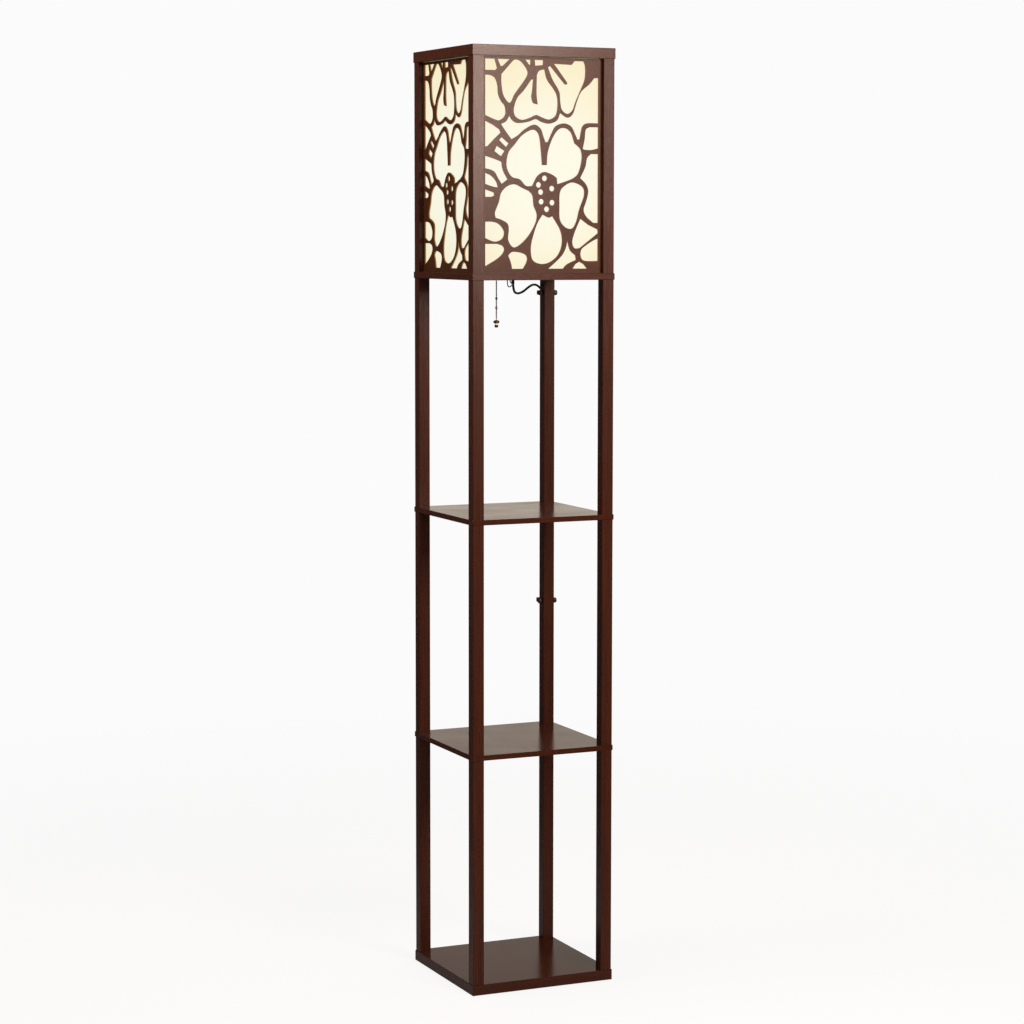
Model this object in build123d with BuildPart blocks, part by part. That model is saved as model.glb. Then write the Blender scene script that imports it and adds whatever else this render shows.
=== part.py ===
from build123d import *
import math
import os

os.makedirs("parts", exist_ok=True)

# A floor lamp that is also a set of three shelves. Four square legs carry a base board, two
# shelves and a lamp floor, and four more posts above carry a top frame. Between those posts
# stand four fretwork panels, each with a sheet of translucent paper behind it, and a lamp
# holder on a riser stands in the middle. A pull chain works the switch, and the lead drops
# from the lamp floor, crosses to the back right leg and runs down behind it.
# Frame: millimetres, +Z up, origin in the middle of the base's underside, front towards -Y.

# ---------------------------------------------------------------- driving dimensions
# Boards and legs
board_side = 262.0
board_overhang = 1.25
base_thickness = 18.0
shelf_thickness = 9.0
lamp_floor_thickness = 11.0
top_thickness = 18.0
post_side = 20.0
lower_leg_length = 385.0
middle_leg_length = 390.0
upper_leg_length = 400.0
lamp_post_length = 360.0
top_rail_width = 34.0
edge_break = 0.6

# Hidden fasteners: hexagon bar studs, and screws with hexagon shanks
hex_sides = 6
round_sides = 20
stud_radius = 3.0
stud_fit = 0.05
stud_reach = 18.0
head_sides = 12
screw_head_radius = 4.5
screw_head_height = 3.0
screw_head_depth = 1.5

# Fretwork panels, and the paper behind them
panel_thickness = 3.0
paper_thickness = 0.8
groove_depth = 5.0
groove_slack = 0.2
panel_side_play = 0.25
panel_headroom = 0.5
rim_side = 6.0
rim_bottom = 8.0
rim_top = 5.0
dot_radius = 4.1
dot_sides = 8

# Riser, nuts and lamp holder
riser_radius = 5.0
thread_fit = 0.05
nut_radius = 9.0
nut_height = 4.0
nut_fit = 0.3
nut_set_back = 1.0
holder_lift = 70.0
riser_socket_depth = 8.0
socket_roof = 4.0
holder_radius = 19.0
holder_bevel = 5.0
holder_height = 45.0
sleeve_wall = 0.5
sleeve_fit = 0.05
sleeve_set_back = 2.0
contact_length = 18.0
contact_width = 7.0
contact_thickness = 1.5

# Bulb with a 26 mm screw cap
screw_cap_radius = 13.2
screw_cap_play = 0.5
screw_cap_height = 25.0
insulator_height = 5.0
bulb_contact_radius = 4.5
contact_gap = 0.1
globe_radius = 30.0
globe_rise = 52.0
globe_cut = 17.5

# Pull switch and its chain
switch_x = -37.0
switch_y = -14.0
switch_width = 18.0
switch_length = 30.0
switch_height = 17.0
switch_floor = 1.5
switch_edge = 1.5
switch_cavity = 10.0
plunger_radius = 2.6
plunger_play = 0.4
plunger_proud = 1.8
plunger_head_radius = 4.2
plunger_head_height = 3.5
plunger_rest_gap = 0.5
plunger_cup_radius = 1.8
plunger_cup_depth = 2.0
pull_travel = 8.0
pivot_drop = 0.1
bead_half = 0.8
bead_radius = 1.2
bead_gap = 0.6
bead_foot = 0.8
link_radius = 0.5
chain_length = 66.5
bead_pitch = 4.4
coupling_radius = 1.9
coupling_length = 4.5
coupling_shares = (0.28, 0.52)
pull_cap_radius = 5.35
pull_cap_bevel = 1.2
pull_cap_height = 5.5
pull_neck_radius = 2.6
pull_neck_height = 3.0
pull_tip_radius = 3.5
pull_height = 13.0
pull_sides = 12

# Switch wires, and the sleeve where they leave the lead
wire_radius = 0.9
wire_hole_radius = 2.2
long_wire_hole = (-18.0, -16.5)
short_wire_hole = (-11.0, -11.5)
lead_sleeve_flat = 2.7
lead_sleeve_turn = 22.5
lead_sleeve_length = 10.0

# Lead, its hank and the tie round the hank's waist
cord_radius = 2.0
cord_sides = 4
cord_bore_fit = 0.05
arc_share = 0.45
hank_turn = 61.1
loops_per_layer = 1
hank_half_width = 20.6
strand_step = 4.9
layer_step = 4.5
draw_in = 5.0
waist_height = 6.0
hank_lead = 5.0
tie_height = 5.0
tie_wall = 0.8
tie_grip = 0.1
sample_step = 2.0

# Cord clips
upper_clip_drop = 27.0
lower_clip_rise = 221.0
clip_height = 9.5
clip_band = 2.0
clip_pocket = 10.0
clip_corner = 2.5
roll_radius = 3.0
roll_sides = 12

# Plug with two flat blades
relief_length = 20.0
relief_large_radius = 4.4
relief_small_radius = 2.8
relief_ribs = 5
relief_sides = 8
plug_length = 28.0
plug_width = 22.0
plug_thickness = 10.0
plug_edge = 2.0
blade_spacing = 12.7
blade_thickness = 1.5
narrow_blade = 6.3
wide_blade = 7.9
blade_length = 16.0

# Fretwork: the corners of each opening in one panel, seen from outside. The first number runs
# to the right from the panel's middle, and the second runs up from the lamp floor. Openings
# that reach the panel's rims run past them, and the window cuts them off.
fretwork = {
    "corner_cell": [(-110, 360), (-88, 360), (-82, 340), (-85, 336.5), (-110, 336.5)],
    "top_wedge": [(-83.5, 360), (-54, 360), (-72, 343.5), (-76, 343.5)],
    "top_nick": [(-34, 359), (-21.5, 359), (-21.5, 347), (-24.5, 347)],
    "top_slot": [(-14.5, 360), (1.5, 360), (1.5, 347), (-13, 345.5)],
    "upper_left_petal": [(-57, 349), (-50, 354.5), (-40, 352.5), (-30, 342), (-26.5, 332), (-33, 320),
        (-50, 298), (-56, 286), (-62, 284), (-71, 296), (-74.5, 315), (-74.5, 330)],
    "left_petal": [(-110, 328.5), (-95, 328), (-86, 323.5), (-81.5, 312), (-80, 297), (-75, 286),
        (-68, 277), (-67.5, 263), (-77, 254.5), (-88, 256), (-110, 265)],
    "top_heart": [(-18, 305), (-19.5, 294), (-16.5, 284), (-8.5, 281.5), (-10.5, 300), (-10, 330),
        (-6, 337), (4, 340), (9, 323), (20, 309), (27, 297), (28.5, 280), (25, 264), (13, 257),
        (0, 260), (-11, 264), (-22, 259.5), (-37, 255.5), (-49, 261), (-52, 273), (-46, 291),
        (-34, 304), (-20, 322.5), (-16.5, 322.5)],
    "top_right_petal": [(54, 348.5), (60, 355.5), (76, 356), (79.5, 345), (78.5, 325), (70, 305),
        (62, 288), (56, 273), (46, 267), (36, 274), (33, 288), (31, 304), (19, 323), (10.5, 343),
        (14.5, 346), (42, 315.5), (46, 316.5), (45, 320), (21.5, 349.5)],
    "ground": [(96, 327.5), (87, 317), (72, 304.5), (64, 288), (57, 268), (47, 260.5), (33, 268),
        (27, 255.5), (13, 250), (-1, 252.5), (-12, 257), (-25, 252.5), (-44, 250), (-54, 254),
        (-60, 262), (-66, 252.5), (-75, 248), (-68, 238), (-56, 223), (-44, 230), (-32, 240),
        (-15, 248), (-3, 241.5), (2, 229), (6, 219), (11, 220), (17, 233), (25, 246), (40, 251),
        (53, 246.5), (60, 235), (65, 224.5), (69.5, 225), (72, 238), (75, 247), (84, 252), (110, 252),
        (110, 328)],
    "left_kite": [(-110, 256), (-90, 246.5), (-78, 239), (-75.5, 234), (-87, 223.5), (-99, 211.5),
        (-110, 209)],
    "link_high": [(-78.5, 221.5), (-74, 226.5), (-61, 216), (-66, 210)],
    "link_low": [(-83, 212), (-68.5, 203.5), (-75, 194.5), (-87, 203)],
    "left_wave": [(-88, 190.5), (-74, 185.5), (-71.5, 172), (-63, 156.5), (-74, 149), (-80, 158),
        (-89, 170.5), (-110, 176), (-110, 197)],
    "leaf_high": [(-94, 163), (-84, 153), (-80.5, 143), (-92, 145), (-110, 151), (-110, 169)],
    "leaf_low": [(-110, 142), (-88, 134.5), (-87, 130), (-92, 127.5), (-110, 127.5)],
    "heart": [(8.5, 181), (10.5, 203), (19, 226), (30, 240.5), (42, 243), (53, 236), (60, 218),
        (71, 208), (73.5, 192), (68, 170), (59, 160.5), (43, 154), (28, 149.5), (27, 160), (17, 166),
        (3, 169.5), (-9, 162), (-18, 146), (-30, 146.5), (-41, 157), (-56, 161.5), (-65, 178),
        (-62, 200), (-50, 215), (-36, 230.5), (-17, 239.5), (-6, 231), (-2, 205), (0, 181)],
    "right_block": [(88, 245.5), (80.5, 241), (78.5, 225), (75, 209), (79, 207.5), (92, 207.5),
        (110, 212), (110, 245.5)],
    "right_long": [(90, 200.5), (83, 193), (80, 179), (70.5, 160), (81, 150), (85.5, 138), (82, 122),
        (77, 107), (82, 95.5), (95, 85), (110, 85), (110, 200.5)],
    "big_left_petal": [(-74, 89.5), (-63, 83), (-61, 72), (-62, 56), (-53, 44), (-40, 48.5), (-24, 64),
        (-12, 84), (-9.5, 99), (-15, 113), (-17.5, 130), (-24, 137.5), (-36, 142.5), (-50, 148.5),
        (-64, 145), (-75, 134), (-79, 119), (-86, 102), (-85, 93)],
    "right_petal": [(57, 152.5), (42, 147), (33, 136), (32, 112), (33, 90), (43, 77.5), (56, 75.5),
        (64, 88), (69, 107), (78, 131), (75, 145)],
    "bottom_petal": [(-8, 85), (-15, 67), (-20.5, 45), (-18, 24), (-5, 16.5), (12, 18), (29, 30),
        (37, 50), (34, 72), (19, 96), (12, 93.5), (1, 98.5)],
    "left_block": [(-90, 86), (-78, 81.5), (-69.5, 70), (-73, 58), (-88, 53.5), (-110, 62), (-110, 86)],
    "left_low_block": [(-82, 49.5), (-72, 46), (-69.5, 38), (-80, 26), (-110, 9), (-110, 49.5)],
    "bottom_cell": [(-57, 18), (-62, 30), (-55, 36), (-40, 35), (-29, 30), (-28, 20), (-38, 3),
        (-54, 3)],
    "bottom_ground": [(43, 40), (33, 26), (7, 4), (36, 4), (46, 15), (63, 22.5), (62, 30), (52, 39),
        (47, 55)],
    "bottom_wedge": [(69, 19.5), (62, 15.5), (54, 4), (87, 4), (77, 15.5)],
    "right_low_block": [(96, 55.5), (80, 46), (72.5, 39), (72, 28), (80, 21), (110, 21), (110, 61)],
    "right_leaf": [(86, 81.5), (103, 74), (104.5, 68), (70, 42.5), (60, 42.5), (56, 53), (60, 68),
        (71, 92)],
}
dots = [(4.5, 159), (-6.5, 148), (18, 142), (-2.5, 136), (-1.5, 120), (18.5, 118.5), (8.5, 107.5)]

# Lead and switch wires: (x, y, z) of the corners of each route, chosen by hand
drop_route = [
    (0, 0, 1214), (0, 0, 1190), (19, 23, 1183), (42, 51, 1187), (64, 77, 1198), (86, 104, 1201),
    (101, 134.5, 1199), (116, 137.5, 1191), (120, 135, 1172), (118.8, 134.8, 1135),
    (117.4, 134.9, 1078), (116.6, 135.2, 1020), (116.4, 135.5, 960), (116.7, 135.6, 900),
    (117.2, 135.4, 842), (117.9, 135.1, 784), (118.8, 135, 726), (119.5, 134.9, 668),
    (120.6, 135, 610), (121.9, 135.3, 552), (122.7, 135.5, 494), (123, 135.4, 436),
    (122.7, 135.2, 378), (122.1, 135.1, 320), (121.4, 135, 262), (120.5, 135.1, 206),
    (119.9, 135.1, 152), (119.75, 135, 101.5),
]
tail_route = [
    (115.81, 137.17, 21.5), (115.81, 137.17, 10.6), (107.3, 137.4, 2.1), (91, 138.4, 2.1),
    (76, 142.5, 2.2), (60, 145, 4.9), (46, 145, 5),
]
long_wire_route = [
    (-2.7, 0, 1204), (-9, 0, 1204), (-15.5, -5.5, 1202.5), (-17.9, -13.4, 1203.6),
    (-18, -16.5, 1210.2), (-17.7, -16.7, 1220.5), (-18, -16.5, 1229.5), (-22.2, -16.5, 1233.7),
    (-28, -16.5, 1233.7),
]
short_wire_route = [
    (-1.91, -1.91, 1203.5), (-6.4, -6.4, 1203.5), (-10.3, -10.3, 1207.5), (-11, -11.5, 1214.5),
    (-11, -11.5, 1226), (-14.3, -10.9, 1231.6), (-20.5, -9.9, 1233.7), (-28, -9.9, 1233.7),
]

# ---------------------------------------------------------------- places that follow from them
lower_shelf_z = base_thickness + lower_leg_length
middle_leg_z = lower_shelf_z + shelf_thickness
upper_shelf_z = middle_leg_z + middle_leg_length
upper_leg_z = upper_shelf_z + shelf_thickness
lamp_floor_z = upper_leg_z + upper_leg_length
lamp_floor_top = lamp_floor_z + lamp_floor_thickness
top_frame_z = lamp_floor_top + lamp_post_length

post_outer = board_side / 2 - board_overhang
post_centre = post_outer - post_side / 2
post_inner = post_outer - post_side
corners = {"front_left": (-1, -1), "front_right": (1, -1), "back_left": (-1, 1), "back_right": (1, 1)}
corner_places = [(post_centre * x_side, post_centre * y_side) for x_side, y_side in corners.values()]
side_turns = {"front": 0, "right": 90, "back": 180, "left": 270}

bore_radius = stud_radius + stud_fit
head_bore_radius = screw_head_radius + stud_fit
head_bore_depth = screw_head_depth + screw_head_height

groove_width = panel_thickness + paper_thickness + groove_slack
panel_face = post_centre + groove_width / 2
panel_width = 2 * (post_inner + groove_depth - panel_side_play)
panel_height = lamp_post_length - panel_headroom

thread_radius = riser_radius + thread_fit
nut_recess = nut_set_back + nut_height
riser_bottom = lamp_floor_z + nut_set_back
holder_z = lamp_floor_top + holder_lift
socket_top = holder_z + riser_socket_depth
holder_floor = socket_top + socket_roof
sleeve_radius = screw_cap_radius + screw_cap_play + sleeve_wall
holder_bore = sleeve_radius + sleeve_fit
bulb_contact_z = holder_floor + contact_thickness + contact_gap
screw_cap_z = bulb_contact_z + contact_thickness + contact_gap
globe_z = screw_cap_z + screw_cap_height

switch_place = (switch_x, switch_y)
plunger_bottom = lamp_floor_z - plunger_proud
plunger_head_z = lamp_floor_top + switch_floor + pull_travel + plunger_rest_gap
chain_pivot_z = plunger_bottom - pivot_drop
chain_top = chain_pivot_z - bead_half - bead_gap
chain_bottom = chain_top - chain_length


def easy_radii(points):
    """The radius at each corner of an open route, as large as its two runs allow."""
    places = [Vector(*point) for point in points]
    radii = []
    for before, corner, after in zip(places, places[1:], places[2:]):
        arriving = corner - before
        leaving = after - corner
        half_turn = math.radians(arriving.get_angle(leaving)) / 2
        radii.append(arc_share * min(arriving.length, leaving.length) / math.tan(half_turn))
    return radii


def report_tube(name, piece, length, section):
    """Print a tube's length and how its volume compares with its section times its length."""
    ratio = piece.part.volume / (section.area * length)
    print(f"{name}: length {length:.1f} mm, volume over section times length {ratio:.4f}")


# ---------------------------------------------------------------- boards
with BuildPart() as base_board:
    with BuildSketch():
        Rectangle(board_side, board_side)
    extrude(amount=base_thickness)
    chamfer(base_board.edges(), edge_break)
    with BuildSketch():
        with Locations(*corner_places):
            RegularPolygon(bore_radius, hex_sides)
    extrude(amount=base_thickness, mode=Mode.SUBTRACT)
    with BuildSketch():
        with Locations(*corner_places):
            RegularPolygon(head_bore_radius, head_sides)
    extrude(amount=head_bore_depth, mode=Mode.SUBTRACT)
base_board.part.label = "base_board"
export_step(base_board.part, "parts/base_board.step")

for shelf_name, shelf_z in (("lower_shelf", lower_shelf_z), ("upper_shelf", upper_shelf_z)):
    with BuildPart() as shelf:
        with BuildSketch(Plane.XY.offset(shelf_z)):
            Rectangle(board_side, board_side)
        extrude(amount=shelf_thickness)
        chamfer(shelf.edges(), edge_break)
        with BuildSketch(Plane.XY.offset(shelf_z)):
            with Locations(*corner_places):
                RegularPolygon(bore_radius, hex_sides)
        extrude(amount=shelf_thickness, mode=Mode.SUBTRACT)
    shelf.part.label = shelf_name
    export_step(shelf.part, f"parts/{shelf_name}.step")

# The lamp floor also takes the riser, the switch's nose, their nuts and the two switch wires.
with BuildPart() as lamp_floor:
    with BuildSketch(Plane.XY.offset(lamp_floor_z)):
        Rectangle(board_side, board_side)
    extrude(amount=lamp_floor_thickness)
    chamfer(lamp_floor.edges(), edge_break)
    with BuildSketch(Plane.XY.offset(lamp_floor_z)):
        with Locations(*corner_places):
            RegularPolygon(bore_radius, hex_sides)
        with Locations((0, 0), switch_place):
            RegularPolygon(thread_radius, round_sides)
        with Locations(long_wire_hole, short_wire_hole):
            RegularPolygon(wire_hole_radius, hex_sides)
    extrude(amount=lamp_floor_thickness, mode=Mode.SUBTRACT)
    with BuildSketch(Plane.XY.offset(lamp_floor_z)):
        with Locations((0, 0), switch_place):
            RegularPolygon(nut_radius + nut_fit, hex_sides)
    extrude(amount=nut_recess, mode=Mode.SUBTRACT)
lamp_floor.part.label = "lamp_floor"
export_step(lamp_floor.part, "parts/lamp_floor.step")

# The top frame is open in the middle, so that the lamp also lights the ceiling.
with BuildPart() as top_frame:
    with BuildSketch(Plane.XY.offset(top_frame_z)):
        Rectangle(board_side, board_side)
        Rectangle(board_side - 2 * top_rail_width, board_side - 2 * top_rail_width, mode=Mode.SUBTRACT)
    extrude(amount=top_thickness)
    chamfer(top_frame.edges(), edge_break)
    with BuildSketch(Plane.XY.offset(top_frame_z)):
        with Locations(*corner_places):
            RegularPolygon(bore_radius, hex_sides)
    extrude(amount=top_thickness, mode=Mode.SUBTRACT)
    with BuildSketch(Plane.XY.offset(top_frame_z + top_thickness - head_bore_depth)):
        with Locations(*corner_places):
            RegularPolygon(head_bore_radius, head_sides)
    extrude(amount=head_bore_depth, mode=Mode.SUBTRACT)
top_frame.part.label = "top_frame"
export_step(top_frame.part, "parts/top_frame.step")

# ---------------------------------------------------------------- legs and lamp posts
leg_levels = {
    "lower": (base_thickness, lower_leg_length),
    "middle": (middle_leg_z, middle_leg_length),
    "upper": (upper_leg_z, upper_leg_length),
}
for level, (foot_z, length) in leg_levels.items():
    for corner, (x_side, y_side) in corners.items():
        foot = Plane((x_side * post_centre, y_side * post_centre, foot_z))
        with BuildPart() as leg:
            with BuildSketch(foot):
                Rectangle(post_side, post_side)
            extrude(amount=length)
            chamfer(leg.edges().filter_by(Axis.Z), edge_break)
            with BuildSketch(foot, foot.offset(length - stud_reach)):
                RegularPolygon(bore_radius, hex_sides)
            extrude(amount=stud_reach, mode=Mode.SUBTRACT)
        leg.part.label = f"{level}_leg_{corner}"
        export_step(leg.part, f"parts/{level}_leg_{corner}.step")

# Each lamp post has a groove in both of its inner faces for a panel and its paper.
for corner, (x_side, y_side) in corners.items():
    foot = Plane((x_side * post_centre, y_side * post_centre, lamp_floor_top))
    with BuildPart() as lamp_post:
        with BuildSketch(foot) as section:
            Rectangle(post_side, post_side)
            chamfer(section.vertices(), edge_break)
            with Locations((-x_side * (post_side - groove_depth) / 2, 0)):
                Rectangle(groove_depth, groove_width, mode=Mode.SUBTRACT)
            with Locations((0, -y_side * (post_side - groove_depth) / 2)):
                Rectangle(groove_width, groove_depth, mode=Mode.SUBTRACT)
        extrude(amount=lamp_post_length)
        with BuildSketch(foot, foot.offset(lamp_post_length - stud_reach)):
            RegularPolygon(bore_radius, hex_sides)
        extrude(amount=stud_reach, mode=Mode.SUBTRACT)
    lamp_post.part.label = f"lamp_post_{corner}"
    export_step(lamp_post.part, f"parts/lamp_post_{corner}.step")

# ---------------------------------------------------------------- fretwork panels and papers
with BuildSketch() as openings:
    for outline in fretwork.values():
        with BuildLine():
            Polyline(*outline, close=True)
        make_face()
    with Locations(*dots):
        RegularPolygon(dot_radius, dot_sides)
    with Locations((0, rim_bottom)):
        Rectangle(
            2 * (post_inner - rim_side),
            lamp_post_length - rim_bottom - rim_top,
            align=(Align.CENTER, Align.MIN),
            mode=Mode.INTERSECT,
        )

for side, turn in side_turns.items():
    outward = Vector(math.sin(math.radians(turn)), -math.cos(math.radians(turn)), 0)
    along = Vector(math.cos(math.radians(turn)), math.sin(math.radians(turn)), 0)
    floor_line = outward * panel_face + Vector(0, 0, lamp_floor_top)
    face = Plane(origin=floor_line, x_dir=along, z_dir=outward)
    with BuildPart() as fret_panel:
        with BuildSketch(face):
            Rectangle(panel_width, panel_height, align=(Align.CENTER, Align.MIN))
            add(openings.sketch, mode=Mode.SUBTRACT)
        extrude(amount=-panel_thickness)
    fret_panel.part.label = f"fret_panel_{side}"
    export_step(fret_panel.part, f"parts/fret_panel_{side}.step")
    with BuildPart() as diffuser:
        with BuildSketch(face.offset(-panel_thickness)):
            Rectangle(panel_width, panel_height, align=(Align.CENTER, Align.MIN))
        extrude(amount=-paper_thickness)
    diffuser.part.label = f"diffuser_{side}"
    export_step(diffuser.part, f"parts/diffuser_{side}.step")

# ---------------------------------------------------------------- hidden fasteners
with BuildPart() as base_screws:
    with BuildSketch(Plane.XY.offset(screw_head_depth)):
        with Locations(*corner_places):
            RegularPolygon(screw_head_radius, head_sides)
    extrude(amount=screw_head_height)
    with BuildSketch(Plane.XY.offset(head_bore_depth)):
        with Locations(*corner_places):
            RegularPolygon(stud_radius, hex_sides)
    extrude(amount=base_thickness + stud_reach - head_bore_depth)
base_screws.part.label = "base_screws"
export_step(base_screws.part, "parts/base_screws.step")

stud_levels = {
    "lower_shelf_studs": (lower_shelf_z, shelf_thickness),
    "upper_shelf_studs": (upper_shelf_z, shelf_thickness),
    "lamp_floor_studs": (lamp_floor_z, lamp_floor_thickness),
}
for studs_name, (board_z, thickness) in stud_levels.items():
    with BuildPart() as studs:
        with BuildSketch(Plane.XY.offset(board_z - stud_reach)):
            with Locations(*corner_places):
                RegularPolygon(stud_radius, hex_sides)
        extrude(amount=thickness + 2 * stud_reach)
    studs.part.label = studs_name
    export_step(studs.part, f"parts/{studs_name}.step")

with BuildPart() as top_screws:
    with BuildSketch(Plane.XY.offset(top_frame_z - stud_reach)):
        with Locations(*corner_places):
            RegularPolygon(stud_radius, hex_sides)
    extrude(amount=stud_reach + top_thickness - head_bore_depth)
    with BuildSketch(Plane.XY.offset(top_frame_z + top_thickness - head_bore_depth)):
        with Locations(*corner_places):
            RegularPolygon(screw_head_radius, head_sides)
    extrude(amount=screw_head_height)
top_screws.part.label = "top_screws"
export_step(top_screws.part, "parts/top_screws.step")

# ---------------------------------------------------------------- riser, holder and bulb
with BuildPart() as riser_tube:
    with BuildSketch(Plane.XY.offset(riser_bottom)):
        RegularPolygon(riser_radius, round_sides)
    extrude(amount=socket_top - riser_bottom)
    with BuildSketch(Plane.XY.offset(riser_bottom)):
        RegularPolygon(cord_radius + cord_bore_fit, cord_sides)
    extrude(amount=drop_route[0][2] - riser_bottom, mode=Mode.SUBTRACT)
riser_tube.part.label = "riser_tube"
export_step(riser_tube.part, "parts/riser_tube.step")

with BuildPart() as riser_nuts:
    with BuildSketch(Plane.XY.offset(riser_bottom), Plane.XY.offset(lamp_floor_top)):
        RegularPolygon(nut_radius, hex_sides)
        RegularPolygon(thread_radius, round_sides, mode=Mode.SUBTRACT)
    extrude(amount=nut_height)
riser_nuts.part.label = "riser_nuts"
export_step(riser_nuts.part, "parts/riser_nuts.step")

with BuildPart() as holder_shell:
    with BuildSketch(Plane.XY.offset(holder_z)):
        RegularPolygon(holder_radius, round_sides)
    extrude(amount=holder_height)
    chamfer(holder_shell.faces().sort_by(Axis.Z)[0].edges(), holder_bevel)
    with BuildSketch(Plane.XY.offset(holder_z)):
        RegularPolygon(thread_radius, round_sides)
    extrude(amount=riser_socket_depth, mode=Mode.SUBTRACT)
    with BuildSketch(Plane.XY.offset(holder_floor)):
        RegularPolygon(holder_bore, round_sides)
    extrude(amount=holder_z + holder_height - holder_floor, mode=Mode.SUBTRACT)
holder_shell.part.label = "holder_shell"
export_step(holder_shell.part, "parts/holder_shell.step")

with BuildPart() as holder_sleeve:
    with BuildSketch(Plane.XY.offset(holder_floor)):
        RegularPolygon(sleeve_radius, round_sides)
        RegularPolygon(sleeve_radius - sleeve_wall, round_sides, mode=Mode.SUBTRACT)
    extrude(amount=holder_z + holder_height - sleeve_set_back - holder_floor)
holder_sleeve.part.label = "holder_sleeve"
export_step(holder_sleeve.part, "parts/holder_sleeve.step")

with BuildPart() as holder_contact:
    with BuildSketch(Plane.XY.offset(holder_floor)):
        Rectangle(contact_length, contact_width)
    extrude(amount=contact_thickness)
holder_contact.part.label = "holder_contact"
export_step(holder_contact.part, "parts/holder_contact.step")

with BuildPart() as bulb_contact:
    with BuildSketch(Plane.XY.offset(bulb_contact_z)):
        RegularPolygon(bulb_contact_radius, round_sides)
    extrude(amount=contact_thickness)
bulb_contact.part.label = "bulb_contact"
export_step(bulb_contact.part, "parts/bulb_contact.step")

with BuildPart() as bulb_screw_cap:
    with BuildSketch(Plane.XY.offset(screw_cap_z)):
        RegularPolygon(screw_cap_radius, round_sides)
    extrude(amount=screw_cap_height)
    chamfer(bulb_screw_cap.faces().sort_by(Axis.Z)[0].edges(), insulator_height)
bulb_screw_cap.part.label = "bulb_screw_cap"
export_step(bulb_screw_cap.part, "parts/bulb_screw_cap.step")

# The globe is a straight neck and a ball cut from a round prism by a ring of chamfers at each end.
globe_centre_z = globe_z + globe_rise
with BuildPart() as bulb_globe:
    with BuildSketch(Plane.XY.offset(globe_centre_z - globe_radius)):
        RegularPolygon(globe_radius, round_sides)
    extrude(amount=2 * globe_radius)
    chamfer(bulb_globe.faces().sort_by(Axis.Z)[0].edges(), globe_cut)
    chamfer(bulb_globe.faces().sort_by(Axis.Z)[-1].edges(), globe_cut)
    with BuildSketch(Plane.XY.offset(globe_z)):
        RegularPolygon(screw_cap_radius, round_sides)
    extrude(amount=globe_rise)
bulb_globe.part.label = "bulb_globe"
export_step(bulb_globe.part, "parts/bulb_globe.step")

# ---------------------------------------------------------------- pull switch and chain
with BuildPart() as switch_body:
    with BuildSketch(Plane((switch_x, switch_y, lamp_floor_top))):
        Rectangle(switch_width, switch_length)
    extrude(amount=switch_height)
    chamfer(switch_body.edges().filter_by(Axis.Z), switch_edge)
    with BuildSketch(Plane((switch_x, switch_y, lamp_floor_top + switch_floor))):
        Rectangle(switch_cavity, switch_cavity)
    extrude(amount=switch_height - 2 * switch_floor, mode=Mode.SUBTRACT)
    with BuildSketch(Plane((switch_x, switch_y, lamp_floor_top))):
        RegularPolygon(plunger_radius + plunger_play, hex_sides)
    extrude(amount=switch_floor, mode=Mode.SUBTRACT)
switch_body.part.label = "switch_body"
export_step(switch_body.part, "parts/switch_body.step")

with BuildPart() as switch_nose:
    with BuildSketch(Plane((switch_x, switch_y, riser_bottom))):
        RegularPolygon(riser_radius, round_sides)
        RegularPolygon(plunger_radius + plunger_play, hex_sides, mode=Mode.SUBTRACT)
    extrude(amount=lamp_floor_top - riser_bottom)
switch_nose.part.label = "switch_nose"
export_step(switch_nose.part, "parts/switch_nose.step")

with BuildPart() as switch_nut:
    with BuildSketch(Plane((switch_x, switch_y, riser_bottom))):
        RegularPolygon(nut_radius, hex_sides)
        RegularPolygon(thread_radius, round_sides, mode=Mode.SUBTRACT)
    extrude(amount=nut_height)
switch_nut.part.label = "switch_nut"
export_step(switch_nut.part, "parts/switch_nut.step")

with BuildPart() as switch_plunger:
    with BuildSketch(Plane((switch_x, switch_y, plunger_bottom))):
        RegularPolygon(plunger_radius, hex_sides)
    extrude(amount=plunger_head_z - plunger_bottom)
    with BuildSketch(Plane((switch_x, switch_y, plunger_head_z))):
        RegularPolygon(plunger_head_radius, hex_sides)
    extrude(amount=plunger_head_height)
    with BuildSketch(Plane((switch_x, switch_y, plunger_bottom))):
        RegularPolygon(plunger_cup_radius, hex_sides)
    extrude(amount=plunger_cup_depth, mode=Mode.SUBTRACT)
switch_plunger.part.label = "switch_plunger"
export_step(switch_plunger.part, "parts/switch_plunger.step")

# The top bead hangs in the plunger's cup, and the chain swings from it.
with BuildPart() as chain_top_bead:
    with BuildSketch(Plane((switch_x, switch_y, chain_pivot_z - bead_half))):
        RegularPolygon(bead_radius, hex_sides)
    extrude(amount=2 * bead_half)
chain_top_bead.part.label = "chain_top_bead"
export_step(chain_top_bead.part, "parts/chain_top_bead.step")

bead_count = round(chain_length / bead_pitch)
bead_step = chain_length / bead_count
with BuildPart() as pull_chain:
    with BuildSketch(Plane((switch_x, switch_y, chain_bottom))):
        RegularPolygon(link_radius, hex_sides)
    extrude(amount=chain_length)
    for bead in range(bead_count):
        with BuildSketch(Plane((switch_x, switch_y, chain_bottom + bead * bead_step + bead_foot))):
            RegularPolygon(bead_radius, hex_sides)
    extrude(amount=2 * bead_half)
    for share in coupling_shares:
        with BuildSketch(Plane((switch_x, switch_y, chain_bottom + share * chain_length))):
            RegularPolygon(coupling_radius, hex_sides)
        extrude(amount=coupling_length)
pull_chain.part.label = "pull_chain"
export_step(pull_chain.part, "parts/pull_chain.step")

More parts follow.
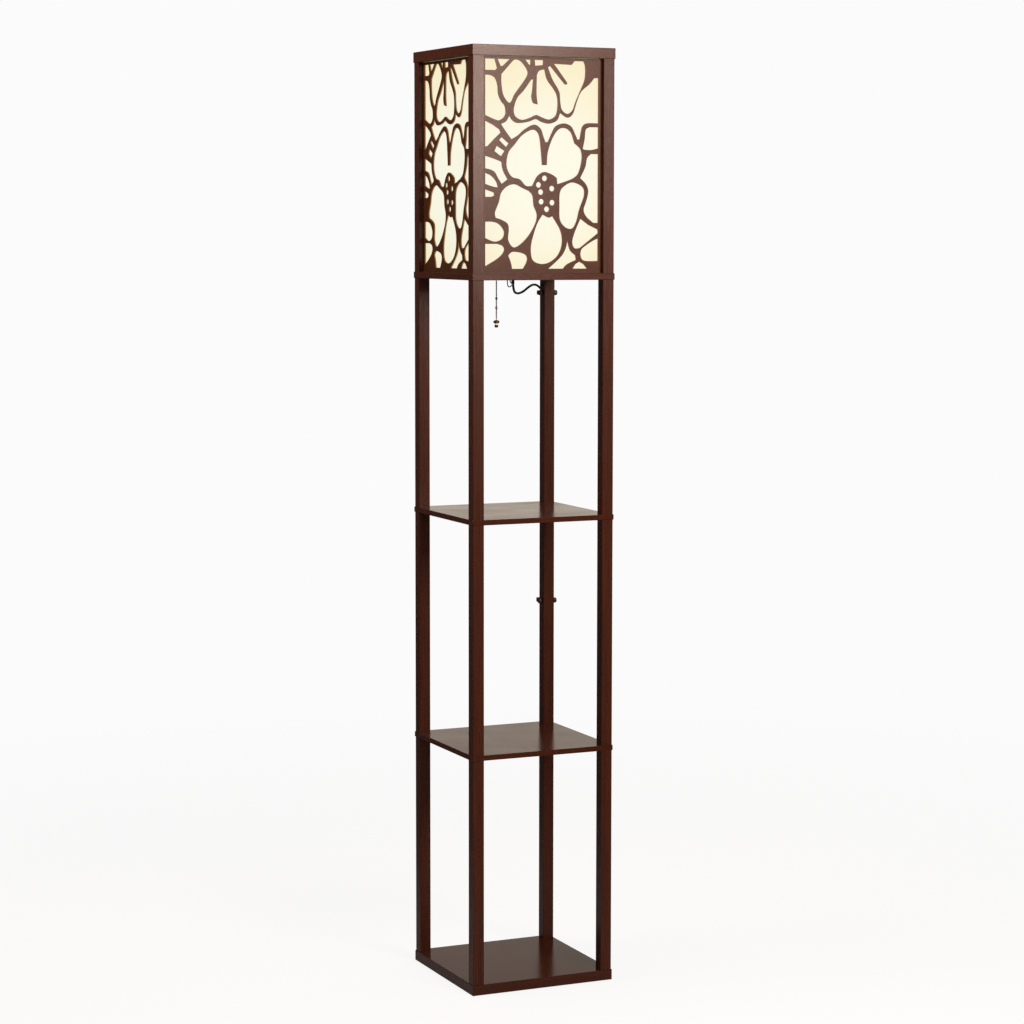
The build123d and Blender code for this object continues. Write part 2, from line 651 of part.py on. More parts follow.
with BuildPart() as chain_pull:
    with BuildSketch(Plane((switch_x, switch_y, chain_bottom - pull_cap_height))):
        RegularPolygon(pull_cap_radius, pull_sides)
    extrude(amount=pull_cap_height)
    chamfer(chain_pull.faces().sort_by(Axis.Z)[-1].edges(), pull_cap_bevel)
    with BuildSketch(Plane((switch_x, switch_y, chain_bottom - pull_height))):
        RegularPolygon(pull_neck_radius, pull_sides)
    extrude(amount=pull_height - pull_cap_height)
    with BuildSketch(Plane((switch_x, switch_y, chain_bottom - pull_height))):
        RegularPolygon(pull_tip_radius, pull_sides)
    extrude(amount=pull_height - pull_cap_height - pull_neck_height)
chain_pull.part.label = "chain_pull"
export_step(chain_pull.part, "parts/chain_pull.step")

# ---------------------------------------------------------------- wires and the lead's drop and tail
with BuildPart() as lead_sleeve:
    with BuildSketch(Plane.XY.offset(riser_bottom - lead_sleeve_length)):
        RegularPolygon(lead_sleeve_flat, 8, major_radius=False, rotation=lead_sleeve_turn)
        RegularPolygon(cord_radius + cord_bore_fit, cord_sides, mode=Mode.SUBTRACT)
    extrude(amount=lead_sleeve_length)
lead_sleeve.part.label = "lead_sleeve"
export_step(lead_sleeve.part, "parts/lead_sleeve.step")

tube_lengths = {}
tubes = {
    "switch_lead_long": (long_wire_route, wire_radius, cord_sides),
    "switch_lead_short": (short_wire_route, wire_radius, cord_sides),
    "cord_drop": (drop_route, cord_radius, cord_sides),
    "cord_tail": (tail_route, cord_radius, cord_sides),
}
for tube_name, (route, tube_radius, tube_sides) in tubes.items():
    corner_radii = easy_radii(route)
    print(tube_name, "corner radii", [round(radius, 1) for radius in corner_radii])
    with BuildPart() as tube:
        with BuildLine() as centre_line:
            FilletPolyline(*route, radius=corner_radii)
        first_run = Vector(*route[1]) - Vector(*route[0])
        with BuildSketch(Plane(origin=route[0], z_dir=first_run)) as tube_section:
            RegularPolygon(tube_radius, tube_sides)
        sweep(path=centre_line.wire())
    tube.part.label = tube_name
    export_step(tube.part, f"parts/{tube_name}.step")
    tube_lengths[tube_name] = centre_line.wire().length
    report_tube(tube_name, tube, tube_lengths[tube_name], tube_section.sketch)

# ---------------------------------------------------------------- the hank behind the back right leg
hank_line = Vector(math.cos(math.radians(hank_turn)), math.sin(math.radians(hank_turn)), 0)
layer_line = Vector(-math.sin(math.radians(hank_turn)), math.cos(math.radians(hank_turn)), 0)
upward = Vector(0, 0, 1)
hank_centre = Vector(*drop_route[-1][:2]) + hank_line * hank_half_width
hank_low = tail_route[0][2]
hank_high = drop_route[-1][2]
run_count = 4 * loops_per_layer + 1
climbing_run = run_count // 2
bend_height = (hank_high - hank_low - waist_height) / 2 - hank_lead


def carry_aside(start, heading, shift):
    """Carry a strand sideways by shift with two equal arcs, and return where it ends."""
    middle = start + heading * (bend_height / 2) + shift * 0.5
    end = start + heading * bend_height + shift
    first = TangentArc(start, middle, tangent=heading)
    TangentArc(middle, end, tangent=first % 1)
    return end


with BuildPart() as cord_hank:
    with BuildLine() as hank_path:
        strand_end = None
        for run in range(run_count):
            turns_in = min(run, run_count - 1 - run)
            side_sign = 1 if run % 2 else -1
            heading = upward * side_sign
            across = hank_line * (side_sign * (hank_half_width - turns_in * strand_step / 2))
            layer = layer_line * (layer_step if run > climbing_run else 0)
            climb = layer_line * (layer_step / 2 if run == climbing_run else 0)
            inward = hank_line * (-side_sign * draw_in)
            start = hank_centre + across + layer + upward * (hank_low if run % 2 else hank_high)
            if strand_end:
                fold_radius = (start - strand_end).length / 2
                ThreePointArc(strand_end, (start + strand_end) * 0.5 - heading * fold_radius, start)
            bend_start = start + heading * hank_lead
            Line(start, bend_start)
            waist_start = carry_aside(bend_start, heading, inward + climb)
            waist_end = waist_start + heading * waist_height
            Line(waist_start, waist_end)
            bend_end = carry_aside(waist_end, heading, climb - inward)
            strand_end = bend_end + heading * hank_lead
            Line(bend_end, strand_end)
    first_place = hank_centre - hank_line * hank_half_width + upward * hank_high
    with BuildSketch(Plane(origin=first_place, z_dir=-upward)) as hank_section:
        RegularPolygon(cord_radius, cord_sides)
    sweep(path=hank_path.wire())
cord_hank.part.label = "cord_hank"
export_step(cord_hank.part, "parts/cord_hank.step")
hank_wire = hank_path.wire()
hank_length = hank_wire.length
report_tube("cord_hank", cord_hank, hank_length, hank_section.sketch)

sample_count = int(hank_length / sample_step)
samples = [tuple(hank_wire.position_at(index / sample_count)) for index in range(sample_count + 1)]
skip = int(6 * cord_radius * 2 / sample_step)
least = min(
    math.dist(samples[one], samples[other])
    for one in range(len(samples))
    for other in range(one + skip, len(samples))
)
print(f"cord_hank: least gap to itself {least - 2 * cord_radius:.2f} mm")
lead_length = tube_lengths["cord_drop"] + hank_length + tube_lengths["cord_tail"]
print(f"lead: whole length {lead_length:.0f} mm")

waist_width = 2 * (hank_half_width - draw_in + cord_radius) - strand_step / 2 - tie_grip
waist_depth = layer_step + 2 * cord_radius - tie_grip
waist_place = (
    hank_centre - hank_line * (strand_step / 4) + layer_line * (layer_step / 2)
    + upward * ((hank_low + hank_high - tie_height) / 2)
)
with BuildPart() as hank_tie:
    with BuildSketch(Plane(origin=waist_place, x_dir=hank_line, z_dir=upward)):
        Rectangle(waist_width + 2 * tie_wall, waist_depth + 2 * tie_wall)
        Rectangle(waist_width, waist_depth, mode=Mode.SUBTRACT)
    extrude(amount=tie_height)
hank_tie.part.label = "hank_tie"
export_step(hank_tie.part, "parts/hank_tie.step")

# ---------------------------------------------------------------- cord clips on the back right leg
clip_levels = {
    "cord_clip_upper": lamp_floor_z - upper_clip_drop,
    "cord_clip_lower": middle_leg_z + lower_clip_rise,
}
for clip_name, clip_z in clip_levels.items():
    with BuildPart() as cord_clip:
        with BuildSketch(Plane((post_centre, post_centre, clip_z - clip_height / 2))) as band:
            Rectangle(
                post_side + 2 * clip_band,
                post_side / 2 + clip_pocket + clip_band,
                align=(Align.CENTER, Align.MIN),
            )
            chamfer(band.vertices().group_by(Axis.Y)[-1], clip_corner + clip_band / 2)
            with BuildSketch(mode=Mode.PRIVATE) as hollow:
                Rectangle(post_side, post_side / 2 + clip_pocket, align=(Align.CENTER, Align.MIN))
                chamfer(hollow.vertices().group_by(Axis.Y)[-1], clip_corner)
            add(hollow.sketch, mode=Mode.SUBTRACT)
            with Locations((post_side / 2 + roll_radius, 0), (-post_side / 2 - roll_radius, 0)):
                RegularPolygon(roll_radius, roll_sides)
        extrude(amount=clip_height)
    cord_clip.part.label = clip_name
    export_step(cord_clip.part, f"parts/{clip_name}.step")

# ---------------------------------------------------------------- plug
plug_entry = Plane(origin=tail_route[-1], x_dir=(0, 1, 0), z_dir=(-1, 0, 0))
with BuildPart() as plug_body:
    for rib in range(relief_ribs):
        share = rib / (relief_ribs - 1)
        rib_radius = relief_small_radius + share * (relief_large_radius - relief_small_radius)
        with BuildSketch(plug_entry.offset(rib * relief_length / relief_ribs)):
            RegularPolygon(rib_radius, relief_sides)
        extrude(amount=relief_length / relief_ribs)
    with BuildSketch(plug_entry.offset(relief_length)) as body_section:
        Rectangle(plug_width, plug_thickness)
        chamfer(body_section.vertices(), plug_edge)
    extrude(amount=plug_length)
plug_body.part.label = "plug_body"
export_step(plug_body.part, "parts/plug_body.step")

with BuildPart() as plug_blades:
    with BuildSketch(plug_entry.offset(relief_length + plug_length)):
        with Locations((-blade_spacing / 2, 0)):
            Rectangle(blade_thickness, narrow_blade)
        with Locations((blade_spacing / 2, 0)):
            Rectangle(blade_thickness, wide_blade)
    extrude(amount=blade_length)
plug_blades.part.label = "plug_blades"
export_step(plug_blades.part, "parts/plug_blades.step")
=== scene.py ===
"""The looks of a shelf floor lamp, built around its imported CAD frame."""

import logging
import math
from dataclasses import dataclass, field
from enum import Enum
from typing import Iterable, Sequence

import bmesh
import bpy
from mathutils import Matrix, Vector
from mathutils.geometry import tessellate_polygon


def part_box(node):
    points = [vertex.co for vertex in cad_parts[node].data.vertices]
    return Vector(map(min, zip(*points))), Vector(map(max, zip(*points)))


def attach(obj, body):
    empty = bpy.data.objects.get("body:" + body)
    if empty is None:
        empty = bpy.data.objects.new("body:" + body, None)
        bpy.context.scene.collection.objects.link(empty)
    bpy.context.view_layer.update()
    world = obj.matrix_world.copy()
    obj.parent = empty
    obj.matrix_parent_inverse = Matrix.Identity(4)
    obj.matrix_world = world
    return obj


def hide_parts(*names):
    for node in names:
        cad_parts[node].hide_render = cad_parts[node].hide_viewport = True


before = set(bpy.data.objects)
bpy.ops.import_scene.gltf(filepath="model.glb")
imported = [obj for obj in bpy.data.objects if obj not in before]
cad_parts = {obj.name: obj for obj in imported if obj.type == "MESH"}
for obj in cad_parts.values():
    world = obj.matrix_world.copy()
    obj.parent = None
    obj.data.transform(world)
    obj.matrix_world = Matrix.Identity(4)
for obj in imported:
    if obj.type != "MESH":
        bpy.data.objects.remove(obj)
LOG = logging.getLogger("shelf_lamp")
MM = 0.001
TURN = 2 * math.pi

# Vertices closer than this, in metres, are one.
MERGE = 1e-7
# The rings of a threaded tube's mesh are this far apart, in millimetres.
RING_STEP = 0.25

Point = tuple[float, float, float]
Flat = tuple[float, float]
Colour = tuple[float, float, float, float]


class Body(Enum):
    """The moving bodies of the frame."""

    FRAME = "frame"
    BULB_SEAT = "bulb_seat"
    BULB = "bulb"
    PLUNGER = "plunger"
    CHAIN_BEAD = "chain_bead"
    CHAIN = "chain"


class Slot(Enum):
    """The record's material slots."""

    WOOD = "dark_wood"
    PAPER = "lamp_paper"
    STEEL = "steel_fastener"
    ZINC = "zinc_steel"
    PLASTIC = "black_plastic"
    BRASS = "brass_contact"
    GLASS = "frosted_glass"
    CAP = "cap_aluminium"
    CHAIN = "chain_metal"
    BRONZE = "pull_bronze"
    CABLE = "black_cable"


def metres(point: Sequence[float]) -> Vector:
    """Turn a point in millimetres into one in metres."""
    return Vector(point) * MM


# ---------------------------------------------------------------------------- shader nodes


def grey(level: float) -> Colour:
    """A grey of one level, in linear light."""
    return level, level, level, 1.0


@dataclass(frozen=True)
class Sock:
    """An output socket in a shader tree, with arithmetic that adds Math nodes.

    Args:
        tree: The node tree that the socket is in.
        socket: The output socket, or None for the bare tree.
    """

    tree: bpy.types.NodeTree
    socket: bpy.types.NodeSocket | None = None

    def node(self, kind: str, output: int | str = 0, inputs: dict | None = None, **settings) -> "Sock":
        """Add a node of any kind.

        Args:
            kind: The node's type name.
            output: The output to return, by number or name.
            inputs: Values or sockets for its inputs, by number or name.
            settings: Values for the node's own settings.

        Returns:
            The named output.
        """
        made = self.tree.nodes.new(kind)
        for name, value in settings.items():
            setattr(made, name, value)
        for key, value in (inputs or {}).items():
            if isinstance(value, Sock):
                self.tree.links.new(value.socket, made.inputs[key])
            else:
                made.inputs[key].default_value = value
        return Sock(self.tree, made.outputs[output])

    def math(self, operation: str, other: "Sock | float" = 0.0, swap: bool = False) -> "Sock":
        """Join this socket and another by a Math node.

        Args:
            operation: The node's operation.
            other: The other socket, or a number.
            swap: Whether the other one comes first.

        Returns:
            The result.
        """
        pair = (other, self) if swap else (self, other)
        return self.node("ShaderNodeMath", inputs=dict(enumerate(pair)), operation=operation)

    def __add__(self, other: "Sock | float") -> "Sock":
        """Add a socket or a number."""
        return self.math("ADD", other)

    def __sub__(self, other: "Sock | float") -> "Sock":
        """Take a socket or a number away."""
        return self.math("SUBTRACT", other)

    def __rsub__(self, other: "Sock | float") -> "Sock":
        """Take this socket away from a number."""
        return self.math("SUBTRACT", other, swap=True)

    def __mul__(self, other: "Sock | float") -> "Sock":
        """Multiply by a socket or a number."""
        return self.math("MULTIPLY", other)

    __radd__ = __add__
    __rmul__ = __mul__

    def rays(self, *names: str) -> tuple["Sock", ...]:
        """Outputs of one Light Path node, by name."""
        outputs = self.node("ShaderNodeLightPath").socket.node.outputs
        return tuple(Sock(self.tree, outputs[name]) for name in names)

    def ramp(self, low: float, high: float) -> "Sock":
        """Rise smoothly from 0 to 1.

        Args:
            low: Where it is 0.
            high: Where it is 1, which may be the smaller of the two.

        Returns:
            The new value.
        """
        return self.node(
            "ShaderNodeMapRange",
            inputs={"Value": self, "From Min": low, "From Max": high},
            interpolation_type="SMOOTHSTEP",
        )

    def blend(self, low: "Sock | Colour", high: "Sock | Colour") -> "Sock":
        """Mix two colours, with this socket as the factor."""
        return self.node("ShaderNodeMix", output=2, inputs={0: self, 6: low, 7: high}, data_type="RGBA")


@dataclass(frozen=True)
class Finish:
    """What a material is before its detail is added.

    Args:
        colour: Base colour, in linear light.
        roughness: Roughness of the surface.
        metallic: 1 for bare metal.
        ior: Index of refraction.
        coat: Weight of a clear coat.
        coat_roughness: Roughness of that coat.
        glow: Strength of the light it gives off.
    """

    colour: Point
    roughness: float
    metallic: float = 0.0
    ior: float = 1.45
    coat: float = 0.0
    coat_roughness: float = 0.1
    glow: float = 0.0

    def shade(self, share: float) -> Colour:
        """The base colour times a share."""
        return tuple(share * part for part in self.colour) + (1.0,)


class Paint:
    """One material: constants on the shader's own sockets, and detail from nodes.

    Args:
        name: The material's name.
        finish: Its constants.
    """

    def __init__(self, name: str, finish: Finish) -> None:
        """Make the material and set its constants."""
        self.finish = finish
        self.material = bpy.data.materials.new(name)
        self.material.use_nodes = True
        self.tree = self.material.node_tree
        self.shader = self.tree.nodes["Principled BSDF"]
        constants = {
            "Base Color": finish.shade(1),
            "Roughness": finish.roughness,
            "Metallic": finish.metallic,
            "IOR": finish.ior,
            "Coat Weight": finish.coat,
            "Coat Roughness": finish.coat_roughness,
            "Emission Strength": finish.glow,
        }
        for socket, value in constants.items():
            self.shader.inputs[socket].default_value = value
        self.place = Sock(self.tree).node("ShaderNodeTexCoord", output="Object")

    def noise(self, scale: Point, detail: float = 3.0, distortion: float = 0.0) -> Sock:
        """Noise over the object's own coordinates.

        Args:
            scale: Its cycles per metre along each axis.
            detail: How many finer layers are added to it.
            distortion: How much it is stirred.

        Returns:
            Its value, about 0 to 1.
        """
        stretched = self.place.node(
            "ShaderNodeVectorMath", inputs={0: self.place, 1: scale}, operation="MULTIPLY"
        )
        return stretched.node(
            "ShaderNodeTexNoise",
            inputs={"Vector": stretched, "Scale": 1.0, "Detail": detail, "Distortion": distortion},
        )

    def distance(self, point: Point) -> Sock:
        """How far a place on the object is from a point, in metres."""
        return self.place.node(
            "ShaderNodeVectorMath", output="Value", inputs={0: self.place, 1: point}, operation="DISTANCE"
        )

    def paint(self, name: str, value: Sock) -> None:
        """Feed one of the shader's inputs."""
        self.tree.links.new(value.socket, self.shader.inputs[name])

    def vary(self, factor: Sock, low: float, high: float) -> None:
        """Vary the base colour between two shares of it."""
        self.paint("Base Color", factor.blend(self.finish.shade(low), self.finish.shade(high)))

    def relief(self, height: Sock, depth: float, strength: float = 0.5) -> None:
        """Bump the surface.

        Args:
            height: The height, 0 to 1.
            depth: What 1 is, in metres.
            strength: How much of it shows.
        """
        bump = height.node(
            "ShaderNodeBump", inputs={"Height": height, "Distance": depth, "Strength": strength}
        )
        self.paint("Normal", bump)


class Grain(Enum):
    """The stretch of the wood grain's noise: short along the grain."""

    UPRIGHT = (1.0, 1.0, 0.035)
    CROSSWISE = (0.035, 1.0, 1.0)
    NONE = (0.6, 0.6, 0.6)

    def scale(self, cycles: float) -> Point:
        """Cycles per metre along each axis."""
        return tuple(cycles * share for share in self.value)


@dataclass
class Materials:
    """Every material of the lamp, each made once.

    Args:
        wood_finish: The lacquered wood of the legs, the posts, the lamp floor and the top frame.
        board_finish: That of the base board and the shelves.
        fretwork_finish: That of the cut panels.
        paper_finish: The lamp paper.
        cable_finish: The cords' jacket.
        glass_finish: The lit bulb.
        filament: The middle of the bulb, in metres.
        paper_fade: How far from it the paper is only warm, and fully bright, in metres.
        paper_light: The paper's warm light, and its bright light.
        glass_fade: How far from the filament the glass is at its dimmest and brightest, in metres.
        glass_light: The glass's dim light, and its bright light.
        cut_edge: How far from the middle the painted light on a cut edge starts, and is full, in metres.
        painted_edge_light: The colour of that painted light, the paper's light on the cut edges painted as a
            glow.
    """

    wood_finish: Finish = Finish(colour=(0.042, 0.0102, 0.0042), roughness=0.28, ior=1.35)
    board_finish: Finish = Finish(colour=(0.040, 0.0102, 0.0042), roughness=0.2, ior=1.35)
    # The fretwork's glow is painted light: the paper's light on its cut edges, given as emission.
    fretwork_finish: Finish = Finish(colour=(0.045, 0.0115, 0.0042), roughness=0.33, ior=1.31, glow=1.0)
    paper_finish: Finish = Finish(colour=(0.08, 0.07, 0.055), roughness=0.8, ior=1.2, glow=1.0)
    cable_finish: Finish = Finish((0.014, 0.013, 0.013), 0.4)
    glass_finish: Finish = Finish((0.8, 0.78, 0.72), 0.35, coat=0.6, glow=6.0)
    filament: Point = (0.0, 0.0, 1384.0 * MM)
    paper_fade: Flat = (0.255, 0.115)
    paper_light: tuple[Colour, Colour] = ((0.825, 0.745, 0.485, 1.0), (0.85, 0.86, 0.735, 1.0))
    glass_fade: Flat = (0.05, 0.024)
    glass_light: tuple[Colour, Colour] = ((0.85, 0.62, 0.36, 1.0), (1.0, 0.9, 0.72, 1.0))
    # Where and how brightly the paper's light is painted onto the fretwork's cut edges.
    cut_edge: Flat = (121.02 * MM, 120.3 * MM)
    painted_edge_light: Colour = (0.25, 0.12, 0.016, 1.0)

    def __post_init__(self) -> None:
        """Make every material."""
        self.uprights = self.wood("lacquered_wood_upright", self.wood_finish, Grain.UPRIGHT)
        self.boards = self.wood("lacquered_wood_board", self.board_finish, Grain.CROSSWISE, relief=0.1)
        self.rails = self.wood("lacquered_wood_rail", self.wood_finish, Grain.CROSSWISE, relief=0.2)
        self.fretwork = self.wood("lacquered_fretwork", self.fretwork_finish, Grain.NONE, lit=True)
        self.paper = self.lamp_paper()
        self.steel = self.metal("blued_steel", Finish((0.32, 0.31, 0.30), 0.34, 1.0))
        self.zinc = self.metal("zinc_plated_steel", Finish((0.56, 0.55, 0.50), 0.3, 1.0))
        self.brass = self.metal("brass", Finish((0.68, 0.44, 0.17), 0.28, 1.0))
        self.aluminium = self.metal("aluminium", Finish((0.66, 0.66, 0.67), 0.3, 1.0))
        self.chain = self.metal("chain_nickel", Finish((0.17, 0.135, 0.11), 0.34, 1.0))
        self.bronze = self.metal("dark_bronze", Finish((0.11, 0.066, 0.036), 0.36, 1.0))
        self.plastic = self.moulded("moulded_plastic", Finish((0.018, 0.018, 0.019), 0.42))
        self.clip = self.moulded("clip_plastic", Finish((0.028, 0.017, 0.014), 0.38))
        self.cream = self.moulded("cream_bead", Finish((0.62, 0.52, 0.38), 0.35, coat=0.3))
        self.cable = self.cable_jacket()
        self.glass = self.frosted_glass()

    def wood(
        self, name: str, finish: Finish, grain: Grain, relief: float = 0.35, lit: bool = False
    ) -> bpy.types.Material:
        """Wood stained dark and lacquered, with fine streaks, pores and a slightly uneven gloss.

        Args:
            name: The material's name.
            finish: Its constants.
            grain: The direction of its grain.
            relief: How much of the grain can be felt through the lacquer.
            lit: Whether the lit paper's light is painted onto the cut edges beside it, as a glow.

        Returns:
            The new material.
        """
        paint = Paint(name, finish)
        streaks = paint.noise(grain.scale(420), detail=4, distortion=0.4)
        bands = paint.noise(grain.scale(60), detail=2, distortion=0.8)
        pores = paint.noise(grain.scale(1500), detail=2).ramp(0.56, 0.7)
        haze = paint.noise((14, 14, 9), detail=2)
        paint.vary(streaks * 0.55 + bands * 0.45 - pores * 0.12, 0.4, 1.7)
        paint.paint("Roughness", finish.roughness - 0.11 + haze * 0.12 + streaks * 0.09 + pores * 0.05)
        paint.relief(streaks * 0.5 - pores * 0.5 + 0.5, 0.00006, relief)
        # Painted light: the cut edges glow with the paper's light.
        if lit:
            paint.paint("Emission Color", self.painted_cut_light(paint))
        return paint.material

    def painted_cut_light(self, paint: Paint) -> Sock:
        """Painted light: the paper's light on the cut edges in front of it, painted as a glow.

        Args:
            paint: The fretwork's material.

        Returns:
            The painted light's colour, which is black on the panels' faces.
        """
        across, back = (
            paint.place.node("ShaderNodeSeparateXYZ", output=axis, inputs={0: paint.place}).math("ABSOLUTE")
            for axis in ("X", "Y")
        )
        depth = across.math("MAXIMUM", back).ramp(*self.cut_edge)
        return depth.blend(grey(0), self.painted_edge_light)

    def lamp_paper(self) -> bpy.types.Material:
        """Fibrous paper lit from behind, brightest beside the bulb and warmer further off.

        Returns:
            The new material.
        """
        paint = Paint("lit_paper", self.paper_finish)
        far = paint.distance(self.filament)
        pulp = paint.noise((130, 130, 95), detail=5)
        fibres = paint.noise((260, 260, 60), detail=3, distortion=2.5)
        strand = (fibres - 0.5).math("ABSOLUTE").ramp(0.02, 0.0)
        glow = far.ramp(*self.paper_fade) * 0.9 + pulp * 0.18 - strand * 0.14
        paint.paint("Emission Color", glow.blend(*self.paper_light))
        paint.vary(pulp * 0.7 + strand * 0.3, 0.85, 1.1)
        paint.relief(pulp * 0.6 + strand * 0.4, 0.0001, 0.3)
        return paint.material

    def metal(self, name: str, finish: Finish) -> bpy.types.Material:
        """Bare or plated metal with fine scratches and a little tarnish.

        Args:
            name: The material's name.
            finish: Its constants.

        Returns:
            The new material.
        """
        paint = Paint(name, finish)
        tarnish = paint.noise((180, 180, 180), detail=4)
        scratches = paint.noise((2600, 2600, 300), detail=2)
        paint.vary(tarnish * 0.7 + scratches * 0.3, 0.72, 1.15)
        paint.paint("Roughness", finish.roughness - 0.1 + tarnish * 0.16 + scratches * 0.06)
        paint.relief(scratches, 0.00002, 0.4)
        return paint.material

    def moulded(self, name: str, finish: Finish) -> bpy.types.Material:
        """Moulded plastic with a fine even texture.

        Args:
            name: The material's name.
            finish: Its constants.

        Returns:
            The new material.
        """
        paint = Paint(name, finish)
        stipple = paint.noise((3200, 3200, 3200), detail=2)
        cloud = paint.noise((60, 60, 60), detail=2)
        paint.vary(cloud * 0.7 + stipple * 0.3, 0.8, 1.25)
        paint.paint("Roughness", finish.roughness - 0.06 + cloud * 0.08 + stipple * 0.06)
        paint.relief(stipple, 0.00004, 0.5)
        return paint.material

    def cable_jacket(self) -> bpy.types.Material:
        """A soft black cable jacket with faint dust and handling marks.

        Returns:
            The new material.
        """
        paint = Paint("cable_jacket", self.cable_finish)
        dust = paint.noise((90, 90, 40), detail=4)
        skin = paint.noise((1800, 1800, 500), detail=2)
        paint.vary(dust.ramp(0.35, 0.75), 0.85, 1.7)
        paint.paint("Roughness", 0.32 + dust * 0.16 + skin * 0.06)
        paint.relief(skin, 0.00003, 0.4)
        return paint.material

    def frosted_glass(self) -> bpy.types.Material:
        """The lit bulb: glass frosted inside, whitest where the filament is nearest.

        Returns:
            The new material.
        """
        paint = Paint("frosted_glass", self.glass_finish)
        frost = paint.noise((400, 400, 400), detail=3)
        heart = paint.distance(self.filament).ramp(*self.glass_fade) * 0.9 + frost * 0.1
        paint.paint("Emission Color", heart.blend(*self.glass_light))
        paint.relief(frost, 0.00004, 0.4)
        return paint.material


# ---------------------------------------------------------------------------- mesh helpers


def heights(node: str) -> Flat:
    """The heights of a CAD node's foot and top, in millimetres."""
    low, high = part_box(node)
    return low.z / MM, high.z / MM


def circle(radius: float, sides: int, centre: Flat = (0, 0)) -> list[Flat]:
    """The corners of a regular polygon, the first of them along X from its centre.

    Args:
        radius: How far its corners are from its centre.
        sides: How many sides it has.
        centre: Its centre.

    Returns:
        Its corners.
    """
    turns = [step * TURN / sides for step in range(sides)]
    return [(centre[0] + radius * math.cos(turn), centre[1] + radius * math.sin(turn)) for turn in turns]


def rounded_box(width: float, height: float, corner: float, steps: int = 6) -> list[Flat]:
    """The outline of a rectangle with rounded corners, about its middle.

    Args:
        width: Its width.
        height: Its height.
        corner: The radius of its corners.
        steps: How many sides each corner has.

    Returns:
        Its points.
    """
    outline = []
    for quarter, (x_side, y_side) in enumerate(((1, 1), (-1, 1), (-1, -1), (1, -1))):
        for step in range(steps + 1):
            angle = (quarter + step / steps) * math.pi / 2
            outline.append((
                x_side * (width / 2 - corner) + corner * math.cos(angle),
                y_side * (height / 2 - corner) + corner * math.sin(angle),
            ))
    return outline


